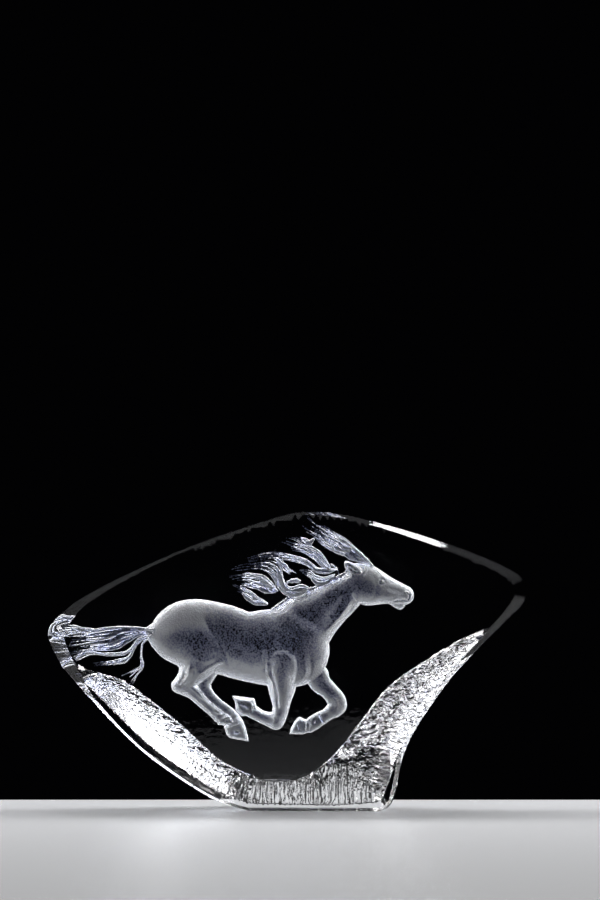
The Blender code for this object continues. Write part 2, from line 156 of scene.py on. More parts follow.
def measure(places: np.ndarray, loop: np.ndarray) -> tuple[np.ndarray, np.ndarray]:
    """Signed distance from a closed outline, and where along it the nearest point is.

    Args:
        places: Places in two numbers.
        loop: The outline's corners in order.

    Returns:
        Distances, negative inside, and positions counted in corners.
    """
    far = np.full(len(places), np.inf)
    where = np.zeros(len(places))
    inside = np.zeros(len(places), bool)
    for k, (start, end) in enumerate(zip(loop, np.roll(loop, -1, axis=0))):
        edge = end - start
        apart = places - start
        share = np.clip(apart @ edge / (edge @ edge), 0, 1)
        away = np.hypot(apart[:, 0] - share * edge[0], apart[:, 1] - share * edge[1])
        closer = away < far
        far = np.where(closer, away, far)
        where = np.where(closer, k + share, where)
        rise = edge[1] if edge[1] else 1.0
        crosses = (start[1] > places[:, 1]) != (end[1] > places[:, 1])
        inside ^= crosses & (places[:, 0] < start[0] + apart[:, 1] * edge[0] / rise)
    return np.where(inside, -far, far), where


def lattice(low: np.ndarray, high: np.ndarray, step: float) -> np.ndarray:
    """Places a step apart over a box, in rows that stand off each other.

    Args:
        low: The box's lowest corner.
        high: The box's highest corner.
        step: Distance between neighbouring places.

    Returns:
        The places, one a row.
    """
    rows = np.arange(low[1], high[1], step * ROW_STEP)
    columns = np.arange(low[0], high[0], step)
    x, z = np.meshgrid(columns, rows)
    x = x + (np.arange(len(rows)) % 2)[:, None] * step / 2
    return np.column_stack([x.ravel(), z.ravel()])


def triangulate(
    loops: list[np.ndarray], others: np.ndarray
) -> tuple[np.ndarray, np.ndarray, np.ndarray]:
    """Triangle mesh over the first of some closed outlines.

    Args:
        loops: Outlines whose edges the mesh keeps.
        others: Further places for the mesh's points.

    Returns:
        The places, the triangles, and where the first outline's points are among the places.
    """
    edges: list[tuple[int, int]] = []
    count = 0
    for loop in loops:
        edges += [(count + k, count + (k + 1) % len(loop)) for k in range(len(loop))]
        count += len(loop)
    places = [Vector(place) for place in np.vstack([*loops, others])]
    made = delaunay_2d_cdt(places, edges, [], 1, MERGE)
    flat = np.array([[vertex.x, vertex.y] for vertex in made[0]])
    found = {origin: k for k, origins in enumerate(made[3]) for origin in origins}
    rim = np.array([found[k] for k in range(len(loops[0]))])
    return flat, np.array([list(face) for face in made[2] if len(face) == 3]), rim


# The horse


@dataclass(frozen=True)
class Stroke:
    """A groove or a ridge that the carver drew over the horse, and the painted light and shade it
    carries.

    Attributes:
        rows: Places on the horse's grid that it passes through.
        half: Half its width, in squares.
        rise: How far it stands out, in squares; under 0 it is a groove.
        light: How much whiter it is painted, as painted light; under 0 it is darker, as painted
            shade.
    """

    rows: Rows
    half: float
    rise: float = 0.0
    light: float = 0.0


@dataclass(frozen=True)
class Unevenness:
    """How the strands of a lock differ from each other.

    Attributes:
        root: How far a root is off its even place, as a share of the gap between two.
        turns: Fewest and most waves of the sway that the strands share.
        apart: How far a strand's wave is off the shared one, in waves.
        curls: Fewest and most waves of a strand's own small sway.
        curl: Width of its own sway, in squares.
        longest: Length of the longest strand, as a share of the lock's.
        past: How far a strand runs past its end, in squares.
        crests: Least and most that a strand stands out, as shares of the lock's ripple.
        tones: Least and most of a strand's tone, as shares of the lock's.
    """

    root: float = 0.35
    turns: tuple[float, float] = (1.0, 1.5)
    apart: float = 0.12
    curls: tuple[float, float] = (2.2, 3.4)
    curl: float = 0.35
    longest: float = 1.05
    past: float = 1.5
    crests: tuple[float, float] = (0.4, 1.4)
    tones: tuple[float, float] = (0.35, 1.5)


@dataclass(frozen=True)
class Lock:
    """A lock of hair that fans out between two edges.

    Attributes:
        upper: Its upper edge from root to tip.
        lower: Its lower edge from root to tip.
        strands: How many strands it holds.
        crown: Depth of its middle at the root, in squares.
        light: How white its strands are painted, as painted highlight, from 0 to 1.
        sway: How far the strands sway together, in squares.
        shortest: Length of its shortest strand, as a share of the lock's.
        thin: Half width of a strand's tip, in squares.
        ripple: How far a strand stands out of the lock, in squares.
        fade: How much darker the strands' tips are, from 0 to 1.
        uneven: How the strands differ from each other.
    """

    upper: Rows
    lower: Rows
    strands: int
    crown: float
    light: float = 0.4
    sway: float = 1.0
    shortest: float = 0.78
    thin: float = 0.34
    ripple: float = 0.9
    fade: float = 0.6
    uneven: Unevenness = Unevenness()

    def lines(self, rng: np.random.Generator) -> list[np.ndarray]:
        """Middle lines of the strands.

        Args:
            rng: Source of the strands' small differences.

        Returns:
            Rows of place, half width, depth, drop at the edge and tone for each strand.
        """
        along = np.linspace(0, 1, 20)
        first, last = (
            np.stack([np.interp(along, np.linspace(0, 1, len(edge)), column)
                      for column in edge.T], axis=1)
            for edge in (spline(self.upper, 12), spline(self.lower, 12)))
        width = np.hypot(*(first - last).T)
        # The strands sway together, and each a little on its own
        uneven = self.uneven
        turns, phase = rng.uniform(*uneven.turns), rng.uniform(0, 1)
        found = []
        for k in range(self.strands):
            share = (k + 0.5 + rng.uniform(-uneven.root, uneven.root)) / self.strands
            middle = first * (1 - share) + last * share
            ahead = np.gradient(middle, axis=0)
            ahead /= np.hypot(*ahead.T)[:, None]
            own = rng.uniform(-uneven.apart, uneven.apart)
            sway = self.sway * np.sin(2 * math.pi * (along * turns + phase + own))
            curls = along * rng.uniform(*uneven.curls) + rng.uniform(0, 1)
            sway += uneven.curl * np.sin(2 * math.pi * curls)
            across = np.stack([-ahead[:, 1], ahead[:, 0]], axis=1)
            middle = middle + across * (sway * np.minimum(1, 2.5 * along))[:, None]
            reach = rng.uniform(self.shortest, uneven.longest)
            middle[-1] += ahead[-1] * uneven.past
            places = np.stack([np.interp(along * min(reach, 1), along, column)
                               for column in middle.T], axis=1)
            # Wide and deep at the root, thin and shallow at the tip
            taper = (1 - along) ** 0.7
            half = np.maximum(0.68 * width / self.strands * (0.35 + 0.65 * taper), self.thin)
            half = half * (0.6 + 0.4 * np.minimum(1, 3 * (1 - along)))
            base = self.crown * (0.3 + 0.7 * math.sin(math.pi * share)) * taper
            ridge = base + self.ripple * rng.uniform(*uneven.crests) * (0.3 + 0.7 * taper)
            # The tone is painted highlight on the strand, fading towards its tip
            tone = np.clip(self.light * rng.uniform(*uneven.tones), 0, 1) * (1 - self.fade * along)
            found.append(np.column_stack([places, half, ridge, base, tone]))
        return found


TRUNK: Rows = (
    (4, 109, 5.5, 5), (20, 105, 18, 9), (42, 107, 33, 12.5), (72, 102.5, 34.5, 12),
    (99, 94.5, 34, 12), (126, 93, 38, 12.5), (146, 91, 37, 12.5),
)
NECK: Rows = (
    (146, 104, 35, 12.5), (162, 121, 29.5, 11.5), (179, 133, 23.5, 10), (194, 144, 20, 9),
    (206, 153, 17, 8.5),
)
HEAD: Rows = (
    (212, 162, 15, 8.5), (220, 155.5, 19.8, 9.5), (228, 153, 17.3, 9.5), (238, 150.5, 14, 8.5),
    (249, 147.8, 11.2, 7.5), (258.3, 145, 9.4, 7),
)
CHIN: Rows = ((242, 141, 3.5, 3.5), (248, 138.5, 4.6, 4), (253.5, 136.8, 5.8, 4.5))
EAR: Rows = (
    (200.6, 176.4, 2.8, 8), (204, 173, 4.8, 10), (208.6, 170.6, 5, 11), (213.5, 168.2, 3, 10),
)
NEAR_THIGH: Rows = (
    (52, 94, 28, 12.2), (53, 82, 20, 12.6), (47, 70, 14, 11.5), (40, 61.5, 10, 9.5),
    (33, 55.5, 7.7, 8.5),
)
NEAR_HIND_CANNON: Rows = (
    (33, 55.5, 7.5, 8.5), (46.5, 49.5, 7.3, 8), (56.5, 39.5, 6, 7.5), (66, 31.5, 5.8, 7.5),
    (73.5, 25, 6.5, 8), (78.5, 21.5, 5.8, 7.5),
)
FAR_HIND_LEG: Rows = (
    (68, 76, 8, 5), (61, 65, 7.5, 5), (57.5, 56, 7, 5), (62, 46, 6.6, 4.5), (71, 37, 6, 4.5),
    (80, 30.5, 6, 4.5), (86, 24, 6.5, 5), (89, 19, 7.5, 5),
)
NEAR_ARM: Rows = (
    (137, 80, 17, 14), (135.5, 66, 15.5, 13), (135.5, 54, 13.8, 11.5), (135, 45, 11, 10),
    (134.8, 34.5, 8.4, 9), (132.5, 25.5, 8, 8.5), (129.5, 20, 8.5, 8.5),
)
NEAR_FORE_CANNON: Rows = (
    (129.5, 20, 8.4, 8.5), (116, 24.3, 6.2, 7.5), (107.5, 29, 6.6, 7.5), (101, 33, 7, 7.5),
)
FAR_ARM: Rows = (
    (170, 66, 12, 6), (174, 58, 10.5, 5.5), (182, 50.5, 8.8, 5.5), (188.5, 42.5, 9.2, 5.5),
    (190.6, 36, 9.4, 6), (187.5, 31.5, 8.3, 6),
)
FAR_FORE_CANNON: Rows = (
    (188, 32, 8, 5.5), (180.5, 26.5, 6.4, 5), (170.5, 20.5, 7.3, 5.5), (163, 15.4, 6.9, 5),
)


@dataclass(frozen=True)
class Limb:
    """A rounded form along a line.

    Attributes:
        rows: Places on the horse's grid, each with a half width and a depth, in squares.
        light: How much whiter than its slope it is painted, as painted light, at its start and its
            end.
    """

    rows: Rows
    light: tuple[float, float] = (0.0, 0.0)

    def line(self, edge: float) -> np.ndarray:
        """The limb as rows of place, half width, depth, drop at the edge and tone.

        Args:
            edge: Drop at the limb's edge, in squares.

        Returns:
            The rows.
        """
        made = spline(self.rows, 8)
        # The tone is painted light, running from the limb's start to its end
        tone = np.linspace(*self.light, len(made))
        return np.column_stack([made, np.full(len(made), edge), tone])


# The pairs are each limb's painted light at its start and its end
LIMBS: tuple[Limb, ...] = (
    Limb(TRUNK), Limb(NECK), Limb(HEAD, (0.12, 0.5)), Limb(CHIN, (0.3, 0.5)), Limb(EAR, (0.5, 0.3)),
    Limb(NEAR_THIGH, (0.0, 0.3)), Limb(NEAR_HIND_CANNON, (0.3, 0.45)),
    Limb(FAR_HIND_LEG, (0.1, 0.4)), Limb(NEAR_ARM, (0.1, 0.3)),
    Limb(NEAR_FORE_CANNON, (0.3, 0.4)), Limb(FAR_ARM, (0.1, 0.3)),
    Limb(FAR_FORE_CANNON, (0.3, 0.45)),
)


@dataclass(frozen=True)
class Hoof:
    """A hoof with flat sides.

    Attributes:
        corners: Its outline on the horse's grid.
        crown: Its depth, in squares.
        run: How far in from the edge that depth is reached, in squares.
        light: How much whiter than its slope it is painted, as painted light.
    """

    corners: Rows
    crown: float
    run: float
    light: float = 0.6


HOOVES: tuple[Hoof, ...] = (
    Hoof(((69.5, 23), (72, 16.5), (90, 17), (85, 26), (80, 28.5)), 8.0, 4.0),
    Hoof(((78, 14.5), (81, 6), (84, 3.4), (102.8, 0), (100.5, 11), (96.7, 21), (90, 26)),
         6.5, 5.0),
    Hoof(((85.7, 45.5), (107.9, 42.8), (110.5, 35.5), (105, 26), (95, 25), (89.5, 31.2),
          (89.3, 38)), 8.5, 5.0),
    Hoof(((152.7, 24.6), (161, 21), (162, 9), (157, 7.2), (143.1, 7.4), (144.5, 13.2),
          (147.9, 19.4)), 6.0, 4.0),
)

MUSCLES: tuple[Stroke, ...] = (
    # Flank fold, stifle and gaskin; the fold also carries a little painted shade
    Stroke(((57.7, 123), (63.7, 112), (70.6, 103), (75, 94), (79, 85), (79.6, 79)),
           2.4, -0.6, -0.2),
    Stroke(((50, 116), (57, 104), (64, 95), (69, 86)), 6.0, 0.5),
    Stroke(((86, 112), (88, 100), (90, 90)), 7.0, -0.4),
    Stroke(((47.7, 84), (57.7, 80), (67.6, 81.3), (76.6, 78.4)), 2.6, 0.5),
    Stroke(((52, 66), (60, 71.5), (69, 77), (78, 80)), 1.6, 0.9),
    Stroke(((43.8, 75), (42, 66), (37.5, 58.5), (33.8, 55.5)), 1.3, 0.9),
    Stroke(((39.5, 71), (37.5, 64), (34.5, 60)), 1.4, -0.8),
    Stroke(((48.5, 73), (47, 64), (43, 57)), 2.0, -0.7),
    Stroke(((34, 54), (44, 48), (54, 39), (62, 32)), 1.1, 0.7),
    Stroke(((36, 57.5), (47, 51.5), (57, 42)), 1.2, -0.6),
    Stroke(((67.5, 30), (72, 28.5), (77, 30.5)), 0.9, -0.8),
    # Shoulder blade, arm and elbow
    Stroke(((132, 130.4), (144.5, 119.7), (156, 112.5), (166, 108), (177, 104.5)), 6.5, 0.6),
    Stroke(((139, 137), (152, 127), (164, 120), (176, 115)), 5.0, -0.6),
    Stroke(((118, 112), (124, 102), (128, 92)), 6.0, -0.5),
    Stroke(((119, 92), (118.2, 80), (119.2, 71)), 2.0, -0.7),
    Stroke(((120.8, 76), (122, 66), (126, 59.5), (127.7, 52), (128.6, 42)), 1.5, 1.1),
    Stroke(((124.8, 73), (127, 62), (130, 52), (131.2, 42), (131.8, 33)), 1.3, -0.8),
    Stroke(((131.5, 55), (133.3, 44), (134.7, 33)), 1.1, 0.8),
    Stroke(((124, 82), (132, 87.5), (142, 86), (147.5, 77), (147, 66)), 2.8, 0.4),
    Stroke(((149.5, 86), (151.5, 74), (149.5, 63), (145, 55)), 1.9, -0.6),
    Stroke(((157.2, 85), (159.7, 71), (156.5, 62), (150.5, 56)), 2.2, 0.5),
    Stroke(((163.5, 86), (165, 72), (161, 63)), 2.0, -0.4),
    # Belly, ribs and neck
    Stroke(((84, 92), (98, 86), (112, 80)), 7.0, -0.4),
    Stroke(((204.5, 141), (197.5, 129), (189.5, 119.5), (180, 109.5)), 2.0, 0.8),
    Stroke(((209, 137.5), (201, 126), (193, 116.5), (184.5, 107)), 1.5, -0.7),
    Stroke(((199, 145), (190, 132.5), (181, 122)), 3.4, -0.6),
    Stroke(((190, 158), (176, 143), (162, 132)), 6.0, 0.5),
    # Knees, fetlocks and pasterns
    Stroke(((126, 13.5), (127.5, 20), (126, 24)), 0.9, 0.7),
    Stroke(((186, 44), (190, 38), (189, 31)), 1.8, 0.6),
    Stroke(((171.5, 27.5), (175.5, 21), (178.5, 17.5)), 0.8, -1.4),
    Stroke(((160.5, 24), (164, 17), (163, 9.5)), 0.9, -1.0),
    Stroke(((157, 23.5), (159, 16), (157.5, 8.5)), 0.9, 0.8),
    Stroke(((74, 22), (80, 24), (86, 25.5)), 0.8, 0.8),
    Stroke(((81.5, 13), (88, 15.5), (94, 18)), 0.8, 0.8),
    Stroke(((104, 41.5), (108, 35), (104.5, 28)), 0.8, -0.8),
    # Hollows in the hooves
    Stroke(((93, 38), (99, 36), (103, 32.5)), 1.5, -1.8),
    Stroke(((79, 20.5), (83.5, 20)), 1.6, -1.5),
    Stroke(((88, 9.5), (93, 8.5)), 1.8, -2.0),
    Stroke(((151, 18), (153.5, 12)), 1.3, -1.4),
    Stroke(((168.5, 20.5), (170, 19)), 1.4, -1.4),
)

FACE: tuple[Stroke, ...] = (
    Stroke(((232.4, 157.6), (234.8, 161.2), (237.8, 160.2), (239.3, 157.8)), 1.0, -0.6),
    Stroke(((232.6, 157.3), (235.5, 156.2), (239, 157.4)), 0.9, -0.4),
    Stroke(((235.2, 158.9), (236.2, 158.8)), 1.0, 0.5),
    Stroke(((231.5, 162.5), (235, 164.2), (239.5, 162.4)), 1.0, 0.3),
    Stroke(((261.4, 146.8), (262.9, 144.6), (262, 142), (260.8, 140.4)), 0.8, -0.9),
    Stroke(((258.5, 147.5), (260, 148.6), (263, 147.2)), 0.8, 0.8),
    Stroke(((247, 138.8), (251.5, 140.6), (257, 140.4), (263.5, 138.6)), 0.7, -1.0),
    Stroke(((248, 141), (254.5, 142.3), (259, 141.6)), 0.8, 0.9),
    Stroke(((251, 136.6), (255.5, 136.4), (258.5, 135)), 0.9, -0.9),
    Stroke(((206.6, 147), (208.8, 141.5), (211.8, 138.4)), 0.9, -0.6),
    Stroke(((226, 165), (230, 156), (229, 146), (224, 140)), 2.0, -0.3),
    Stroke(((241, 152), (250, 149.5), (256, 147.5)), 2.4, -0.6),
    Stroke(((213, 136.8), (224, 136.2), (238, 137)), 0.8, -0.9),
    Stroke(((201, 176), (206, 172.8), (212, 169)), 1.5, -2.0),
    Stroke(((199.2, 178.6), (206, 177.3), (213, 172.5), (216, 169.5)), 0.7, 0.9),
    Stroke(((199, 177), (202, 171.5), (207.5, 167.3), (213, 166.3)), 0.7, 0.9),
    Stroke(((218, 178), (219.5, 171), (217, 165)), 1.0, -0.9),
)

PAINTED_LIGHT_AND_SHADE: tuple[Stroke, ...] = (
    # Painted shade on the crest under the mane, where the carving is also made shallow
    Stroke(((204, 171), (190, 167), (178, 162), (165, 156), (155, 151.5), (146, 147.5),
            (134, 140.5), (125, 134)), 8.0, -5.0, -2.6),
    # Painted light on the forehead, nose and chin, and painted shade on the cheek
    Stroke(((216, 171), (226, 165.5), (238, 158.5), (250, 152.5), (261, 147.5)), 5.5, light=1.0),
    Stroke(((261, 148), (264.5, 142)), 3.0, light=0.9),
    Stroke(((246, 138), (252, 136), (256, 135)), 2.5, light=0.3),
    Stroke(((210, 152), (221, 147), (232, 144.5), (246, 144)), 6.5, light=-0.25),
    # Painted shade in the eye, nostril, mouth and jaw, and a painted highlight in the eye
    Stroke(((233.2, 158), (235.6, 161), (238.9, 158.4)), 1.3, light=-2.0),
    Stroke(((232.8, 157.4), (236, 156.4), (239.2, 157.4)), 0.8, light=-1.2),
    Stroke(((235.2, 158.6), (236, 158.6)), 0.7, light=2.4),
    Stroke(((261.2, 146.6), (262.8, 144.3), (262, 141.5), (260.6, 140.2)), 0.9, light=-2.2),
    Stroke(((248, 138.6), (254, 140.2), (262, 139)), 0.6, light=-1.2),
    Stroke(((257, 137.5), (259, 135.6)), 0.9, light=-1.6),
    Stroke(((212, 136.8), (218, 136.3)), 0.8, light=-1.4),
    Stroke(((240, 136.9), (246, 136.5)), 0.7, light=-1.4),
    # Painted light on the ear's rim, and painted shade inside it and at its base
    Stroke(((201, 176), (205, 172.3), (211, 169.3)), 2.0, light=-0.4),
    Stroke(((199, 179), (206, 176.8), (211.4, 174), (215.4, 170)), 0.9, light=1.0),
    Stroke(((198, 177), (199.3, 171.8), (202.5, 168), (208, 166)), 0.9, light=0.9),
    Stroke(((216, 176), (218, 170), (216.5, 164.5)), 1.2, light=-1.0),
    # Painted light on the croup, belly, haunch and gaskin
    Stroke(((12, 110), (24, 118), (44, 121), (62, 125)), 12.0, light=0.8),
    Stroke(((80, 84), (93, 79), (106, 74.5), (119, 71)), 7.0, light=0.4),
    Stroke(((6, 100), (14, 88), (24, 78), (33, 70)), 5.0, light=0.35),
    Stroke(((36, 72), (41, 62)), 3.0, light=0.3),
    # Painted shade in the hollows of the hooves and under the fetlocks
    Stroke(((92, 38), (98, 36), (103, 33.5)), 1.6, light=-1.5),
    Stroke(((77, 21), (82, 20.6), (86, 21.2)), 1.4, light=-1.2),
    Stroke(((87, 10), (93, 9)), 1.8, light=-1.6),
    Stroke(((150.5, 18), (153.5, 11)), 1.2, light=-1.3),
    Stroke(((168.5, 20.5), (170.5, 19)), 1.4, light=-1.6),
    Stroke(((172, 27), (175, 22), (178, 18)), 0.8, light=-1.4),
)

# Each lock's light is painted highlight on its strands
MANE: tuple[Lock, ...] = (
    # The top lock, from the poll to the highest wisps, and the bright strands in it
    Lock(((224, 176), (217, 186), (207, 193.7), (198.6, 201.4), (189, 208), (179.4, 214.5),
          (170, 218.5), (163, 225)),
         ((203, 181), (197.6, 184.2), (191, 187), (182.3, 190), (174.7, 195.6), (170, 201.4),
          (163.2, 205.2), (154.6, 208)), 19, 2.4, 0.12, 0.8, 0.72, ripple=0.6),
    Lock(((199, 188.5), (192, 190.5), (187.5, 195), (187.5, 202), (184.5, 209)),
         ((196, 184.5), (188.5, 187.5), (183.8, 193), (184, 201), (181.5, 207.5)),
         3, 4.8, 0.95, 0.3, 0.85, fade=0.2),
    Lock(((204.5, 192.5), (197, 193.5), (193.2, 197), (193.8, 203)),
         ((202, 188.5), (195, 189.5), (190, 195), (190.5, 202)),
         2, 4.4, 0.85, 0.2, 0.85, fade=0.3),
    Lock(((227.5, 175), (219, 184.3), (210, 191.9), (201, 198.8), (191, 206.5)),
         ((224.5, 174), (216.6, 182), (208, 189.3), (199.5, 196), (189.5, 204)),
         2, 4.4, 1.0, 0.2, 0.9, fade=0.3),
    Lock(((222, 181), (215, 186), (208, 186.5), (202, 184.5)),
         ((219.5, 176.5), (213, 178), (207, 180), (202, 181)), 3, 3.6, 0.5, 0.3, 0.9, fade=0.2),
    # The second lock, a spindle with wisps at its tip
    Lock(((184.6, 172.5), (179.4, 182.3), (172.8, 189), (165, 193.7), (155.5, 198.5),
          (149.8, 203.3), (139, 205.5)),
         ((182, 169.5), (175.5, 173.5), (169.5, 178), (163.2, 183.2), (156, 188), (148, 189.5),
          (135.5, 191.8)), 11, 4.0, 0.6, 0.8, 0.72, fade=0.85),
    Lock(((168, 202), (163, 200.5), (158, 203), (150, 205)),
         ((164, 195), (159, 197), (154, 199.5), (147, 201)), 4, 2.0, 0.25, 0.5, 0.7),
    # The third lock and the strands that hang from it
    Lock(((191, 171), (181, 171.8), (171.5, 171.5), (166, 176.5), (160.3, 180.8), (151.7, 184),
          (141.2, 187.3), (132.6, 189.3), (119.2, 188.3), (102, 183)),
         ((182, 166.8), (169.5, 167.5), (163.2, 172.2), (156.5, 176), (148.5, 178), (139, 180.8),
          (130.7, 181.8), (121, 181), (104, 178.5)), 10, 3.8, 0.6, 0.8, 0.75, fade=0.8),
    Lock(((131.5, 182.5), (138.5, 177), (144.5, 171.2), (151, 167.8)),
         ((128.8, 180.5), (134, 174), (139.5, 168.7), (145, 165.5)), 4, 2.6, 0.5, 0.3, 0.8),
    # The curl behind the ear, and the thick lock that rolls over itself
    Lock(((188.5, 166), (180, 163.8), (174.7, 163), (168.5, 165.8), (163.3, 169.9), (155, 171)),
         ((186.5, 161.5), (180.5, 155.8), (172.8, 153.8), (166, 157.4), (161.8, 163), (154, 168.3)),
         5, 4.8, 0.85, 0.3, 0.9, fade=0.3),
    Lock(((162, 153.5), (154.6, 155.8), (146, 153), (140.4, 155.5), (136.8, 162.2),
          (134.5, 170.8), (130.7, 177), (122, 180), (112, 178), (100, 179), (88, 174.6)),
         ((160.3, 145.5), (153.6, 141.6), (146, 142.5), (138.3, 145.4), (132.2, 150.7),
          (127.4, 159.3), (120.5, 167.5), (112, 171), (99, 170.5), (86, 168.6)),
         8, 5.6, 0.85, 0.4, 0.8, ripple=1.2, fade=0.7),
    Lock(((154.5, 160.5), (149, 162.8), (143, 160.5), (137.8, 157)),
         ((153, 157), (148, 157.2), (142, 156.4), (137.8, 155.2)), 3, 2.4, 0.5, 0.2, 0.9),
    # The fan under it, its bright strands, and the lowest lock
    Lock(((132, 149.5), (125.5, 158), (118, 164.5), (108, 168), (98, 168), (84, 165)),
         ((126.5, 147), (117.3, 147), (107.7, 151.3), (98.1, 153.5), (88, 152)),
         12, 3.0, 0.4, 0.7, 0.74, fade=0.75),
    Lock(((127, 154.5), (119, 161.5), (111.5, 165.5), (100, 168)),
         ((124.5, 151), (116, 157.5), (110, 161.5), (99, 164)),
         2, 4.4, 1.0, 0.2, 0.95, fade=0.4),
    Lock(((122, 137.2), (112.5, 144.2), (104.5, 149.5), (97, 153.5), (89, 158)),
         ((120, 135), (108, 135.8), (99.5, 140.6), (94.5, 146), (87, 151)),
         7, 3.6, 0.9, 0.5, 0.8, fade=0.5),
    # Thin strands in the gap behind the ear
    Lock(((185.5, 176), (190.5, 172.6), (192.5, 168)),
         ((184.8, 174.8), (189.4, 171.6), (191.2, 168)), 1, 2.0, 0.7, 0.0, 0.95),
    Lock(((168, 171.5), (176, 170), (184, 168.5)), ((168, 170), (176, 168.3), (183, 167)),
         1, 2.4, 0.9, 0.2, 0.95),
)
# Each lock's light is painted highlight on its strands
TAIL: tuple[Lock, ...] = (
    Lock(((7, 111.5), (-10, 113), (-29, 113), (-48, 111), (-64, 111), (-82, 112.5)),
         ((6, 106), (-8, 103.5), (-17, 97), (-29, 91.5), (-52, 90), (-76, 84)),
         15, 3.4, 0.06, 0.5, 0.86, ripple=0.5, fade=0.0),
    Lock(((7, 112), (-10, 113.3), (-29, 113.6), (-48, 111.6), (-64, 111.8), (-82, 113.5)),
         ((6, 110.5), (-10, 111.4), (-29, 111.4), (-48, 109.2), (-64, 109.4), (-80, 110.5)),
         2, 3.0, 0.9, 0.2, 0.95, fade=0.0),
    Lock(((-52, 111.4), (-66, 113.5), (-84, 117)), ((-52, 109.8), (-66, 107.5), (-84, 104)),
         5, 3.2, 1.0, 0.2, 0.95, fade=0.0),
    Lock(((5, 106), (-8, 102.4), (-14, 94), (-24, 89.5), (-40, 89), (-56, 91.5), (-72, 86),
          (-82, 78)),
         ((3, 104.5), (-10, 99), (-15.5, 89.5), (-23, 85.5), (-38, 85), (-54, 87), (-68, 80),
          (-78, 72)), 4, 3.6, 0.9, 0.5, 0.9, ripple=1.4, fade=0.2),
    Lock(((3, 104), (-11, 98), (-16, 87), (-24, 82.5), (-38, 81), (-52, 79)),
         ((1.5, 102.5), (-10, 95), (-14.5, 83.5), (-21, 78), (-34, 76.5), (-50, 76)),
         4, 3.2, 0.95, 0.5, 0.85, ripple=1.3, fade=0.3),
    Lock(((2, 103.5), (-5, 96), (-5.5, 86), (-5, 79), (-8, 74.5), (-15, 71.5), (-24, 68)),
         ((3, 102), (-3.5, 95), (-3.5, 85), (-2, 78), (-4, 71), (-8.5, 65), (-12, 55)),
         5, 1.6, 0.6, 0.5, 0.8, ripple=1.1),
)


HEAD_BOX = ((196.0, 125.0), (270.0, 186.0))
HORSE_BOX = ((-90.0, -5.0), (275.0, 232.0))
NEAR_EDGE = 7  # squares round a form in which its distance is worked out
STROKE_REACH = 3  # half widths of a stroke beyond which it adds nothing
STROKE_END = 0.35  # strength of a stroke at its ends
STROKE_GAIN = 6  # how much stronger it gets over its whole length, up to its full strength
HAIR_SHOWS = 0.02  # squares that a strand stands out before it counts as hair
# Painted shade between the strands of the hair
GAP_PAINTED_SHADE = 0.08  # tone between two strands, as a share of their own
GAP_SHADE_WIDTH = 1.5  # how wide the darker gap between two strands is; 1 is even
LEAST_SLOPE = 0.25  # squared slope of a distance, below which a place is moved less
FINE_ROUND = 1.5  # squares round the hair that are still meshed finely
ON_EDGE = 0.5  # steps from the carving's edge within which a place is moved onto it
PAST_EDGE = 1.7  # steps past that edge that are still meshed closely


